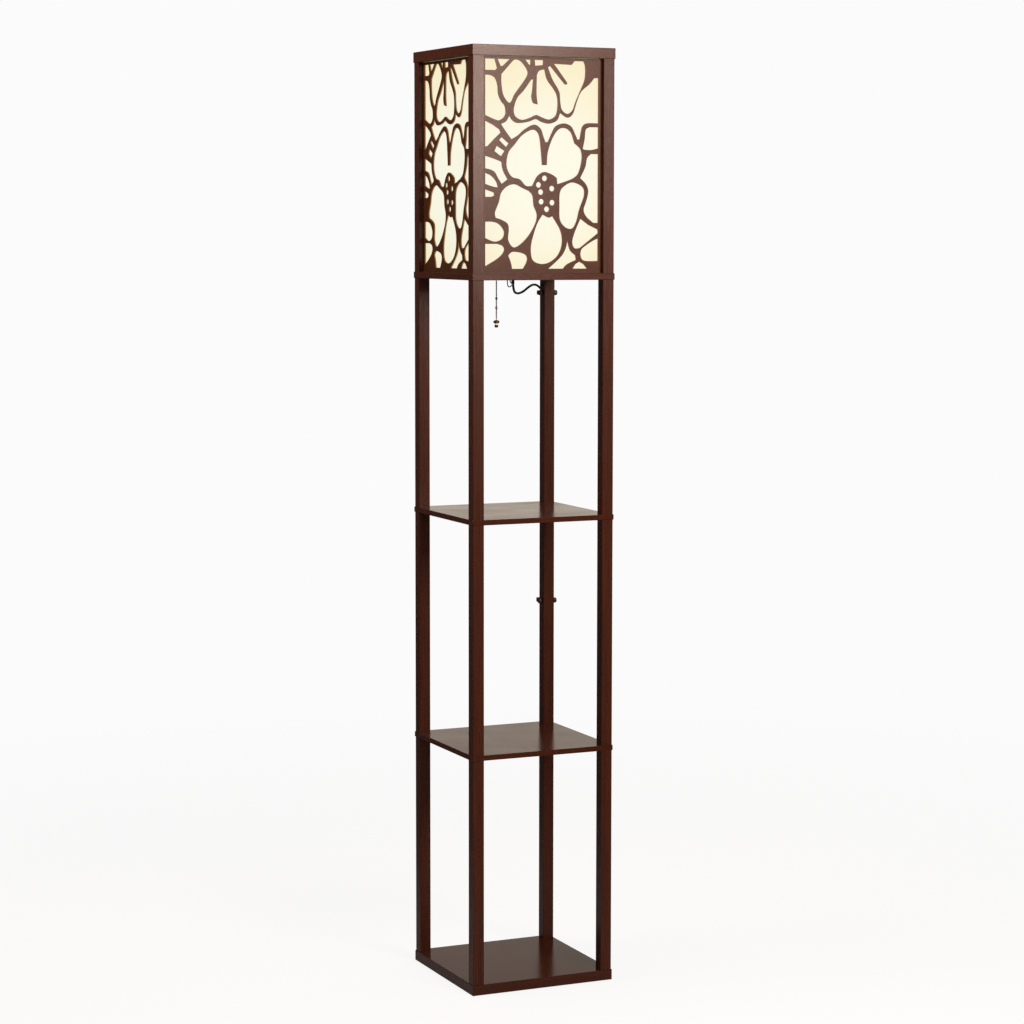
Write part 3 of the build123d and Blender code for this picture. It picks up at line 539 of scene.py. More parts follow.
@dataclass
class Shape:
    """A mesh that is being built, in metres, in the lamp's frame.

    Args:
        mesh: The mesh, which starts empty.
    """

    mesh: bmesh.types.BMesh = field(default_factory=bmesh.new)

    def made_since(self, before: set[bmesh.types.BMVert]) -> list[bmesh.types.BMVert]:
        """The vertices that aren't in a set taken earlier."""
        return [vert for vert in self.mesh.verts if vert not in before]

    def lathe(
        self, profile: Sequence[Flat], at: Point = (0, 0, 0), segments: int = 48, axis: Point = (0, 0, 1)
    ) -> list[bmesh.types.BMVert]:
        """Turn a profile round an axis.

        Args:
            profile: (radius, distance along the axis) of each point, in millimetres.
            at: Where the axis starts, in millimetres.
            segments: How many sides the turned form has.
            axis: The direction of the axis.

        Returns:
            The new vertices.
        """
        before = set(self.mesh.verts)
        toward = Vector(axis).normalized()
        across = toward.orthogonal().normalized()
        origin = metres(at)
        places = [origin + (across * radius + toward * along) * MM for radius, along in profile]
        corners = [self.mesh.verts.new(place) for place in places]
        edges = [self.mesh.edges.new(pair) for pair in zip(corners, corners[1:])]
        bmesh.ops.spin(
            self.mesh, geom=corners + edges, cent=origin, axis=toward, angle=TURN, steps=segments,
            use_merge=True,
        )
        bmesh.ops.remove_doubles(self.mesh, verts=self.made_since(before), dist=MERGE)
        return self.made_since(before)

    def thread(
        self, verts: Iterable[bmesh.types.BMVert], low: float, high: float, pitch: float, depth: float,
        centre: Flat = (0, 0), beyond: float = 0.0,
    ) -> None:
        """Push the vertices of an upright turned form in along a helix.

        Args:
            verts: The turned vertices.
            low: The lowest place that is threaded, in millimetres.
            high: The highest one.
            pitch: The rise of a turn, in millimetres.
            depth: How deep the thread is, in millimetres.
            centre: Where the axis stands, in millimetres.
            beyond: Only what is further from the axis than this is threaded, in millimetres.
        """
        for vert in verts:
            height = vert.co.z / MM
            out = Vector((vert.co.x - centre[0] * MM, vert.co.y - centre[1] * MM, 0))
            if low < height < high and out.length > beyond * MM:
                turn = math.atan2(out.y, out.x) / TURN
                wave = 0.5 - 0.5 * math.cos(TURN * (height / pitch - turn))
                vert.co -= out.normalized() * (depth * MM * wave)

    def block(self, low: Point, high: Point, soften: float = 0.6, steps: int = 3) -> None:
        """A box with rounded edges, in millimetres.

        Args:
            low: Its lowest corner.
            high: Its highest corner.
            soften: The rounding of its edges.
            steps: How many faces that rounding has.
        """
        size = metres(high) - metres(low)
        middle = (metres(high) + metres(low)) / 2
        place = Matrix.Translation(middle) @ Matrix.Diagonal((*size, 1))
        made = bmesh.ops.create_cube(self.mesh, size=1, matrix=place)
        edges = {edge for vert in made["verts"] for edge in vert.link_edges}
        self.soften(edges, soften, steps)

    def soften(self, edges: Iterable[bmesh.types.BMEdge], width: float, steps: int = 2) -> None:
        """Round edges.

        Args:
            edges: The edges.
            width: How far the rounding reaches from them, in millimetres.
            steps: How many faces it has.
        """
        bmesh.ops.bevel(
            self.mesh, geom=list(edges), offset=width * MM, segments=steps, profile=0.5, affect="EDGES",
            material=-1, clamp_overlap=True,
        )

    def ball(self, centre: Point, radius: float, squeeze: float = 1.0) -> None:
        """A ball, in millimetres.

        Args:
            centre: Its centre.
            radius: Its radius.
            squeeze: Its height's share of its width.
        """
        place = Matrix.Translation(metres(centre)) @ Matrix.Diagonal((1, 1, squeeze, 1))
        bmesh.ops.create_uvsphere(self.mesh, u_segments=20, v_segments=12, radius=radius * MM, matrix=place)

    def plate(
        self, outlines: Sequence[Sequence[Flat]], low: float, high: float, place: Matrix,
        soften: float = 0.3, steps: int = 2,
    ) -> None:
        """A flat plate with holes and rounded rims.

        Args:
            outlines: The outer outline, then each hole, in millimetres.
            low: Where the plate starts above its plane, in millimetres.
            high: Where it ends.
            place: Puts the plane in the lamp's frame.
            soften: The rounding of its rims, in millimetres.
            steps: How many faces that rounding has.
        """
        before = set(self.mesh.verts)
        loops = [[Vector((x * MM, y * MM, low * MM)) for x, y in outline] for outline in outlines]
        verts = [self.mesh.verts.new(point) for loop in loops for point in loop]
        faces = [
            self.mesh.faces.new([verts[index] for index in corners])
            for corners in tessellate_polygon(loops) if len(set(corners)) == 3
        ]
        bmesh.ops.recalc_face_normals(self.mesh, faces=faces)
        grown = bmesh.ops.extrude_face_region(self.mesh, geom=faces, use_keep_orig=True)
        raised = [item for item in grown["geom"] if isinstance(item, bmesh.types.BMVert)]
        bmesh.ops.translate(self.mesh, verts=raised, vec=(0, 0, (high - low) * MM))
        wall = {edge for vert in verts + raised for edge in vert.link_edges}
        self.soften([edge for edge in wall if self.is_rim(edge)], soften, steps)
        bmesh.ops.transform(self.mesh, matrix=place, verts=self.made_since(before))

    @staticmethod
    def is_rim(edge: bmesh.types.BMEdge) -> bool:
        """Whether a flat plate's edge lies level, between a flat face and a wall."""
        level = abs(edge.verts[0].co.z - edge.verts[1].co.z) < MERGE
        sides = [face.normal for face in edge.link_faces]
        return level and len(sides) == 2 and abs(sides[0].dot(sides[1])) < 0.5

    def done(
        self, name: str, material: bpy.types.Material, body: Body, nodes: Sequence[str] = (),
        sharp: float = 32.0,
    ) -> bpy.types.Object:
        """Close the mesh and make it a piece of the lamp.

        Args:
            name: The piece's name.
            material: Its material.
            body: The body that it moves with.
            nodes: The CAD nodes that it stands for.
            sharp: The angle above which an edge stays sharp, in degrees.

        Returns:
            The new object.
        """
        bmesh.ops.remove_doubles(self.mesh, verts=self.mesh.verts, dist=MERGE)
        bmesh.ops.recalc_face_normals(self.mesh, faces=self.mesh.faces)
        mesh = bpy.data.meshes.new(name)
        self.mesh.to_mesh(mesh)
        self.mesh.free()
        mesh.shade_smooth()
        mesh.set_sharp_from_angle(angle=math.radians(sharp))
        mesh.materials.append(material)
        return add_piece(name, mesh, body, nodes)


def add_piece(
    name: str, data: bpy.types.ID, body: Body, nodes: Sequence[str] = ()
) -> bpy.types.Object:
    """Link an object that rides on a body and stands for some CAD nodes.

    Args:
        name: The object's name.
        data: Its mesh or curve.
        body: The body that it moves with.
        nodes: The CAD nodes that it stands for.

    Returns:
        The new object.
    """
    piece = bpy.data.objects.new(name, data)
    bpy.context.scene.collection.objects.link(piece)
    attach(piece, body.value)
    if nodes:
        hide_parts(*nodes)
    LOG.info("built %s", name)
    return piece


def dress(nodes: Iterable[str], material: bpy.types.Material) -> None:
    """Give CAD nodes their material.

    Args:
        nodes: Their names.
        material: The material.
    """
    for name in nodes:
        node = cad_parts[name]
        node.data.materials.clear()
        node.data.materials.append(material)
        LOG.info("dressed %s", name)


def flexible(
    name: str, points: Sequence[Vector], radius: float, material: bpy.types.Material,
    nodes: Sequence[str],
) -> bpy.types.Object:
    """A round cable along one smooth NURBS spline.

    Args:
        name: The piece's name.
        points: The control points, in metres.
        radius: Half the cable's diameter, in millimetres.
        material: Its material.
        nodes: The CAD nodes that it stands for.

    Returns:
        The new curve object.
    """
    curve = bpy.data.curves.new(name, "CURVE")
    curve.dimensions = "3D"
    curve.bevel_depth = radius * MM
    curve.bevel_resolution = 5
    curve.use_fill_caps = True
    curve.resolution_u = 10
    spline = curve.splines.new("NURBS")
    spline.points.add(len(points) - 1)
    for knot, point in zip(spline.points, points):
        knot.co = (*point, 1.0)
    spline.order_u = 3
    spline.use_endpoint_u = True
    curve.materials.append(material)
    return add_piece(name, curve, Body.FRAME, nodes)


# ---------------------------------------------------------------------------- camera and studio


@dataclass(frozen=True)
class CameraView:
    """The photograph's camera, solved from the lamp's straight edges.

    Args:
        place: Where it stands, in millimetres.
        yaw: How far it looks right of straight back, in radians.
        pitch: How far it looks up, in radians.
        roll: How far it leans, in radians.
        focal: The focal length, in pixels.
        centre: The pixel that it looks at.
        pixels: The image's side, in pixels.
    """

    place: Point = (-1940.45, -4385.41, 1293.80)
    yaw: float = 0.43365
    pitch: float = -0.0894
    roll: float = 0.0024
    focal: float = 2782.06
    centre: Flat = (560.0, 480.0)
    pixels: float = 1024.0

    def build(self) -> bpy.types.Object:
        """Make the camera and give it to the scene.

        Returns:
            The camera.
        """
        ahead = Vector((
            math.sin(self.yaw) * math.cos(self.pitch),
            math.cos(self.yaw) * math.cos(self.pitch),
            math.sin(self.pitch),
        ))
        right = Vector((math.cos(self.yaw), -math.sin(self.yaw), 0))
        up = right.cross(ahead)
        lean, level = math.sin(self.roll), math.cos(self.roll)
        right, up = level * right + lean * up, level * up - lean * right
        data = bpy.data.cameras.new("camera")
        data.sensor_width = 36.0
        data.lens = self.focal * data.sensor_width / self.pixels
        data.shift_x = 0.5 - self.centre[0] / self.pixels
        data.shift_y = self.centre[1] / self.pixels - 0.5
        data.clip_start, data.clip_end = 0.05, 100.0
        camera = bpy.data.objects.new("camera", data)
        turn = Matrix((right, up, -ahead)).transposed().to_4x4()
        camera.matrix_world = Matrix.Translation(metres(self.place)) @ turn
        bpy.context.scene.collection.objects.link(camera)
        bpy.context.scene.camera = camera
        return camera


@dataclass(frozen=True)
class SoftBox:
    """A large soft light.

    Args:
        name: The light's name.
        place: Where it stands, in metres.
        target: What it faces, in metres.
        size: Its width and height, in metres.
        watts: Its power.
        colour: Its colour.
    """

    name: str
    place: Point
    target: Point
    size: Flat
    watts: float
    colour: Point = (1.0, 1.0, 1.0)

    def build(self) -> None:
        """Make the light."""
        data = bpy.data.lights.new(self.name, "AREA")
        data.shape = "RECTANGLE"
        data.size, data.size_y = self.size
        data.energy = self.watts
        data.color = self.colour
        light = bpy.data.objects.new(self.name, data)
        light.location = self.place
        away = Vector(self.place) - Vector(self.target)
        light.rotation_euler = away.to_track_quat("Z", "Y").to_euler()
        bpy.context.scene.collection.objects.link(light)


@dataclass(frozen=True)
class Studio:
    """A plain pale floor, a white background and soft lights.

    Args:
        floor_side: The floor's side, in metres.
        floor_drop: How far below the lamp the floor lies, in metres.
        floor_finish: What the floor is where the lamp's shadow falls.
        white: How bright the background looks.
        diffuse_level: How much light the world throws on the lamp.
        gloss_dim: What gloss sees of the world in front and at the sides.
        gloss_behind: What gloss sees of the world behind the lamp.
        behind: The direction in which that is centred.
        behind_edge: The cosines of the angles from it where that starts, and is full.
        floor_white: The near floor's share of plain white.
        floor_gloss: How bright gloss sees the floor near the lamp, and far from it.
        white_fade: How far from the lamp the floor starts to turn plain white, and is, in metres.
        gloss_fade: How far from the lamp the floor's gloss starts to change, and has, in metres.
        soft_boxes: The lights. The key is what the front faces mirror above eye height.
    """

    floor_side: float = 40.0
    floor_drop: float = 0.0004
    floor_finish: Finish = Finish((0.86, 0.86, 0.86), 0.9, ior=1.2)
    white: float = 0.965
    diffuse_level: float = 0.25
    gloss_dim: float = 0.06
    gloss_behind: Point = (0.93, 0.82, 0.7)
    behind: Point = (0.42, 0.9075, 0.0)
    behind_edge: Flat = (0.94, 1.0)
    floor_white: float = 0.85
    floor_gloss: Flat = (0.19, 0.05)
    white_fade: Flat = (0.5, 3.0)
    gloss_fade: Flat = (0.35, 1.3)
    soft_boxes: tuple[SoftBox, ...] = (
        SoftBox("key", (0.425, -2.1, 1.86), (0.425, 0, 1.86), (0.95, 1.0), 62, (1.0, 0.8, 0.69)),
        SoftBox("wash", (-0.9, -5.2, 2.8), (0, 0, 0.9), (1.8, 1.8), 50),
        SoftBox("side", (-0.95, 0.1, 2.15), (-0.13, 0, 1.4), (0.6, 0.6), 15, (1.0, 0.82, 0.62)),
        SoftBox("top", (0.2, 0.6, 4.2), (0, 0, 0.5), (2.6, 2.6), 30),
    )

    def build(self) -> None:
        """Make the world, the floor and the lights."""
        bpy.context.scene.view_settings.view_transform = "Standard"
        self.build_world()
        self.build_floor()
        for box in self.soft_boxes:
            box.build()

    def build_world(self) -> None:
        """White to the camera and in clear glass; gloss sees it behind the lamp, and dimmer elsewhere."""
        world = bpy.data.worlds.new("studio")
        world.use_nodes = True
        tree = world.node_tree
        tree.nodes.clear()
        root = Sock(tree)
        camera, glossy, through = root.rays("Is Camera Ray", "Is Glossy Ray", "Is Transmission Ray")
        direction = root.node("ShaderNodeTexCoord", output="Generated")
        behind = direction.node(
            "ShaderNodeVectorMath", output="Value",
            inputs={0: direction, 1: self.behind}, operation="DOT_PRODUCT",
        )
        seen = camera.math("MAXIMUM", through)
        mirrored = behind.ramp(*self.behind_edge).blend(grey(self.gloss_dim), (*self.gloss_behind, 1.0))
        level = glossy.blend(grey(self.diffuse_level), mirrored)
        colour = seen.blend(level, grey(self.white))
        light = root.node("ShaderNodeBackground", inputs={"Color": colour, "Strength": 1.0})
        output = tree.nodes.new("ShaderNodeOutputWorld")
        tree.links.new(light.socket, output.inputs["Surface"])
        bpy.context.scene.world = world

    def build_floor(self) -> None:
        """A floor that is white to the camera apart from the lamp's shadow."""
        shape = bmesh.new()
        level = Matrix.Translation((0, 0, -self.floor_drop))
        bmesh.ops.create_grid(shape, x_segments=2, y_segments=2, size=self.floor_side / 2, matrix=level)
        mesh = bpy.data.meshes.new("floor")
        shape.to_mesh(mesh)
        shape.free()
        mesh.materials.append(self.floor_paint().material)
        floor = bpy.data.objects.new("floor", mesh)
        bpy.context.scene.collection.objects.link(floor)

    def floor_paint(self) -> Paint:
        """The floor's material.

        Returns:
            The material, with its nodes.
        """
        paint = Paint("pale_floor", self.floor_finish)
        tree = paint.tree
        camera, glossy, through = paint.place.rays("Is Camera Ray", "Is Glossy Ray", "Is Transmission Ray")
        away = paint.place.node(
            "ShaderNodeVectorMath", output="Value", inputs={0: paint.place}, operation="LENGTH"
        )
        whites = away.ramp(*self.white_fade).blend(grey(1.0), grey(self.white))
        near, far = (grey(level) for level in self.floor_gloss)
        colour = glossy.blend(whites, away.ramp(*self.gloss_fade).blend(near, far))
        white = colour.node("ShaderNodeEmission", inputs={"Color": colour, "Strength": 1.0})
        plain = self.floor_white + (1.0 - self.floor_white) * away.ramp(*self.white_fade)
        share = camera.math("MAXIMUM", through) * plain + glossy
        mixed = share.node(
            "ShaderNodeMixShader", inputs={0: share, 1: Sock(tree, paint.shader.outputs[0]), 2: white}
        )
        tree.links.new(mixed.socket, tree.nodes["Material Output"].inputs["Surface"])
        return paint


# ---------------------------------------------------------------------------- cords


@dataclass
class Hank:
    """The folded spare length of the lead, in millimetres.

    Args:
        start: Where its first run starts.
        low: The height of its lower folds.
        turn: The direction of its width, in degrees.
        half_width: Half its width, between the middles of its outer strands.
        strand_step: How far apart strands lie.
        layer_step: How far apart its two layers lie.
        draw_in: How far its strands are drawn in at the waist.
        waist: The length of the waist.
        straight: The straight ends of a run.
        runs: How many runs it has.
    """

    start: Point = (119.75, 135.0, 101.5)
    low: float = 21.5
    turn: float = 61.1
    half_width: float = 20.6
    strand_step: float = 4.9
    layer_step: float = 4.5
    draw_in: float = 5.0
    waist: float = 6.0
    straight: float = 5.0
    runs: int = 5

    def axes(self) -> tuple[Vector, Vector, Vector]:
        """The directions of its width, of its layers and up.

        Returns:
            The three directions.
        """
        angle = math.radians(self.turn)
        width = Vector((math.cos(angle), math.sin(angle), 0))
        return width, Vector((-width.y, width.x, 0)), Vector((0, 0, 1))

    def middle(self) -> Vector:
        """The middle of its width, at floor level."""
        return Vector((self.start[0], self.start[1], 0)) + self.axes()[0] * self.half_width

    def points(self) -> list[Vector]:
        """The control points of its runs and folds.

        Returns:
            The points, in millimetres.
        """
        width, layers, up = self.axes()
        high = self.start[2]
        bend = (high - self.low - self.waist) / 2 - self.straight
        last = self.runs - 1
        found: list[Vector] = []
        for run in range(self.runs):
            side = 1 if run % 2 else -1
            heading = up * side
            across = width * (side * (self.half_width - min(run, last - run) * self.strand_step / 2))
            layer = layers * (self.layer_step if run > last // 2 else 0)
            climb = layers * (self.layer_step / 2 if run == last // 2 else 0)
            inward = width * (-side * self.draw_in)
            start = self.middle() + across + layer + up * (self.low if run % 2 else high)
            if found:
                found += self.fold(found[-1], start, heading)
            first, second = inward + climb, climb - inward
            ease = (bend * bend + first.length_squared) / (4 * bend)
            top = start + heading * self.straight
            found += [start, top + heading * ease]
            waist = top + heading * bend + first
            found += [waist - heading * ease, waist + heading * (self.waist + ease)]
            foot = waist + heading * (self.waist + bend) + second
            found += [foot - heading * ease, foot + heading * self.straight]
        return found

    def fold(self, before: Vector, after: Vector, heading: Vector) -> list[Vector]:
        """The corners of the polygon round a half turn from one run to the next.

        Args:
            before: Where the first run ends.
            after: Where the next one starts.
            heading: The direction of the next run.

        Returns:
            The corners.
        """
        centre = (before + after) / 2
        radius = (after - before).length / 2
        outward = (before - after).normalized()
        beyond = radius / math.cos(math.pi / 8)
        corners = []
        for step in range(4):
            angle = math.pi / 8 + step * math.pi / 4
            corners.append(
                centre + outward * (beyond * math.cos(angle)) - heading * (beyond * math.sin(angle))
            )
        return corners


@dataclass
class Cords:
    """The lead with its plug and tie, and the two switch wires. Points are in millimetres.

    Args:
        materials: The lamp's materials.
        hank: The lead's spare length.
        cord_radius: The lead's radius, in millimetres.
        wire_radius: The wires' radius, in millimetres.
        lead_length: The lead's length, in metres. Not used.
        long_wire_length: The long wire's length, in metres. Not used.
        short_wire_length: The short wire's length, in metres. Not used.
        tie_wall: The thickness of the tie's strap, in millimetres.
        tie_slack: How much wider the tie is than the strands in it, in millimetres.
        drop: The lead's route from the lamp floor to the hank.
        tail: Its route from the hank to the plug.
        long_wire: The long wire's route.
        short_wire: The short wire's route.
    """

    materials: Materials
    hank: Hank
    cord_radius: float = 2.0
    wire_radius: float = 0.9
    lead_length: float = 2.014
    long_wire_length: float = 0.0599
    short_wire_length: float = 0.0515
    tie_wall: float = 0.8
    tie_slack: float = 1.5
    drop: tuple[Point, ...] = (
        (0, 0, 1214), (0, 0, 1190), (19, 23, 1184.5), (42, 51, 1187.5), (64, 77, 1195), (81, 101, 1198),
        (96, 125.5, 1198.5), (108.5, 137, 1197), (117.5, 136.8, 1188), (120, 135, 1172), (118.8, 134.8, 1135),
        (117.4, 134.9, 1078), (116.6, 135.2, 1020), (116.4, 135.5, 960), (116.7, 135.6, 900),
        (117.2, 135.4, 842), (117.9, 135.1, 784), (118.8, 135, 726), (119.5, 134.9, 668),
        (120.6, 135, 610), (121.9, 135.3, 552), (122.7, 135.5, 494), (123, 135.4, 436),
        (122.7, 135.2, 378), (122.1, 135.1, 320), (121.4, 135, 262), (120.5, 135.1, 206),
        (119.9, 135.1, 152),
    )
    tail: tuple[Point, ...] = (
        (115.81, 137.17, 10.6), (107.3, 137.4, 2.1), (91, 138.4, 2.1), (76, 142.5, 2.2),
        (60, 145, 4.9), (46, 145, 5),
    )
    long_wire: tuple[Point, ...] = (
        (-2.6, -1.4, 1200), (-8, -5.7, 1197), (-14.8, -12.6, 1198), (-17.6, -16.3, 1205.5),
        (-18, -16.6, 1218), (-18, -16.5, 1229.5), (-22.2, -16.5, 1233.7), (-28, -16.5, 1233.7),
    )
    short_wire: tuple[Point, ...] = (
        (-1.7, -1.9, 1204.5), (-5.8, -6.2, 1203.4), (-10.2, -10.6, 1207.2), (-11, -11.5, 1214),
        (-11, -11.5, 1226), (-14.3, -10.9, 1231.6), (-20.5, -9.9, 1233.7), (-28, -9.9, 1233.7),
    )

    def build(self) -> None:
        """Make every cord."""
        plug, blades = Plug(self.materials).build()
        tie = self.build_tie()
        sleeve = self.build_sleeve()
        cable = self.materials.cable
        route = [metres(point) for point in self.drop]
        route += [point * MM for point in self.hank.points()]
        route += [metres(point) for point in self.tail]
        lead = flexible(
            "lead", route, self.cord_radius, cable, ("cord_drop", "cord_hank", "cord_tail")
        )
        wires = (
            ("switch_wire_long", self.long_wire, self.long_wire_length, "switch_lead_long"),
            ("switch_wire_short", self.short_wire, self.short_wire_length, "switch_lead_short"),
        )
        for name, points, length, node in wires:
            places = [metres(point) for point in points]
            wire = flexible(name, places, self.wire_radius, cable, (node,))

    def build_tie(self) -> bpy.types.Object:
        """A flat strap drawn round the hank's waist.

        Returns:
            The strap.
        """
        low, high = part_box("hank_tie")
        width, layers, up = self.hank.axes()
        strands = 2 * (self.hank.half_width - self.hank.draw_in + self.cord_radius)
        across = strands - self.hank.strand_step / 2 + self.tie_slack
        deep = self.hank.layer_step + 2 * self.cord_radius + self.tie_slack
        place = Matrix((width, layers, up)).transposed().to_4x4()
        place.translation = (low + high) / 2 - up * ((high.z - low.z) / 2)
        outer, inner = (
            rounded_box(across - 2 * wall, deep - 2 * wall, 3.4 - wall) for wall in (0.0, self.tie_wall)
        )
        shape = Shape()
        shape.plate([outer, inner], 0, (high.z - low.z) / MM, place, soften=0.25)
        return shape.done("hank_strap", self.materials.plastic, Body.FRAME, ("hank_tie",))

    def build_sleeve(self) -> bpy.types.Object:
        """The sleeve where the two wires leave the lead, with rounded ends and a crimp.

        Returns:
            The sleeve.
        """
        foot, top = heights("lead_sleeve")
        profile = [
            (2.05, foot), (2.4, foot), (2.75, foot + 0.4), (2.8, foot + 3), (2.55, foot + 3.6),
            (2.55, foot + 5.2), (2.8, foot + 5.8), (2.8, top), (2.05, top), (2.05, foot),
        ]
        shape = Shape()
        shape.lathe(profile, segments=32)
        return shape.done(
            "lead_junction", self.materials.plastic, Body.FRAME, ("lead_sleeve",)
        )


@dataclass
class Plug:
    """A two-blade plug that lies on the floor, in millimetres.

    Args:
        materials: The lamp's materials.
        relief_start: Where the strain relief meets the lead, along X.
        body_start: Where the plug's body starts.
        body_end: Where its blades start.
        line: Its place across, and its height.
        width: The body's width.
        thickness: The body's thickness.
        grips: How many grips it has on each side.
        grip_start: Where the first grip starts, from the body's end.
        grip_step: How far apart grips are.
        grip_width: How wide a grip is.
        grip_half: Half a grip's length across the top, and up a side.
        grip_proud: How far a grip stands out of the body.
        grip_sunk: How far it reaches into the body at the top, and at a side.
        relief_radius: The strain relief's largest radius.
        relief_taper: How much smaller it is at the lead.
        relief_ribs: How many ribs it has.
        groove: How deep the grooves between them are.
        blade_length: How far a blade reaches out.
        blade_root: How far a blade reaches into the body.
        blade_step: How far apart the blades are.
        blade_thickness: Their thickness.
        blade_widths: The width of each.
        blade_hole: The radius of the hole in each, and how far it is from the tip.
    """

    materials: Materials
    relief_start: float = 46.0
    body_start: float = 26.0
    body_end: float = -2.0
    line: Flat = (145.0, 5.0)
    width: float = 22.0
    thickness: float = 10.0
    grips: int = 4
    grip_start: float = 7.0
    grip_step: float = 4.6
    grip_width: float = 2.2
    grip_half: Flat = (7.5, 2.6)
    grip_proud: float = 0.45
    grip_sunk: Flat = (1.0, 0.8)
    relief_radius: float = 4.3
    relief_taper: float = 1.5
    relief_ribs: int = 6
    groove: float = 0.75
    blade_length: float = 16.0
    blade_root: float = 1.5
    blade_step: float = 12.7
    blade_thickness: float = 1.5
    blade_widths: Flat = (6.3, 7.9)
    blade_hole: Flat = (1.5, 4.5)

    def build(self) -> tuple[bpy.types.Object, bpy.types.Object]:
        """Make the plug's body and its blades.

        Returns:
            The body and the blades.
        """
        return self.build_body(), self.build_blades()

    def build_body(self) -> bpy.types.Object:
        """The moulded body, with grips on three sides and a ribbed strain relief.

        Returns:
            The body.
        """
        y, z = self.line
        half, rise = self.width / 2, self.thickness / 2
        body = Shape()
        body.block(
            (self.body_end, y - half, z - rise), (self.body_start, y + half, z + rise), soften=2.2, steps=5
        )
        across, up = self.grip_half
        top_sunk, side_sunk = self.grip_sunk
        face = z + rise
        for grip in range(self.grips):
            x = self.body_end + self.grip_start + grip * self.grip_step
            end = x + self.grip_width
            body.block((x, y - across, face - top_sunk), (end, y + across, face + self.grip_proud), 0.3, 2)
            for side in (1, -1):
                inner, outer = sorted((side * (half - side_sunk), side * (half + self.grip_proud)))
                body.block((x, y + inner, z - up), (end, y + outer, z + up), 0.3, 2)
        length = self.relief_start - self.body_start
        profile = [(0.0, -1.5), (self.relief_radius, -1.5)]
        for rib in range(self.relief_ribs):
            share = rib / (self.relief_ribs - 1)
            radius = self.relief_radius - self.relief_taper * share
            along = share * (length - 3)
            profile += [(radius, along), (radius, along + 1.7)]
            profile += [(radius - self.groove, along + 2.0), (radius - self.groove, along + 2.7)]
        profile += [(2.7, length - 0.3), (2.1, length), (0.0, length)]
        body.lathe(profile, at=(self.body_start, y, z), segments=28, axis=(1, 0, 0))
        return body.done("plug_moulding", self.materials.plastic, Body.FRAME, ("plug_body",))

    def build_blades(self) -> bpy.types.Object:
        """The two blades, each with cut corners and a round hole.

        Returns:
            The blades.
        """
        y, z = self.line
        blades = Shape()
        place = Matrix(((-1, 0, 0), (0, 0, 1), (0, 1, 0))).transposed().to_4x4()
        tip, root, deep = self.blade_length, -self.blade_root, self.blade_thickness / 2
        hole_radius, hole_back = self.blade_hole
        for side, blade_width in zip((-1, 1), self.blade_widths):
            half = blade_width / 2
            outline = [
                (root, -half), (tip - 2, -half), (tip, -half + 1.6), (tip, half - 1.6), (tip - 2, half),
                (root, half),
            ]
            hole = circle(hole_radius, 20, (tip - hole_back, 0))
            place.translation = metres((self.body_end, y + side * self.blade_step / 2, z))
            blades.plate([outline, hole], -deep, deep, place, soften=0.2)
        return blades.done("plug_pins", self.materials.brass, Body.FRAME, ("plug_blades",))


# ---------------------------------------------------------------------------- fretwork and wood


class Side(Enum):
    """The lamp's sides, with the turn from the front to each, in degrees."""

    FRONT = 0
    RIGHT = 90
    BACK = 180
    LEFT = 270


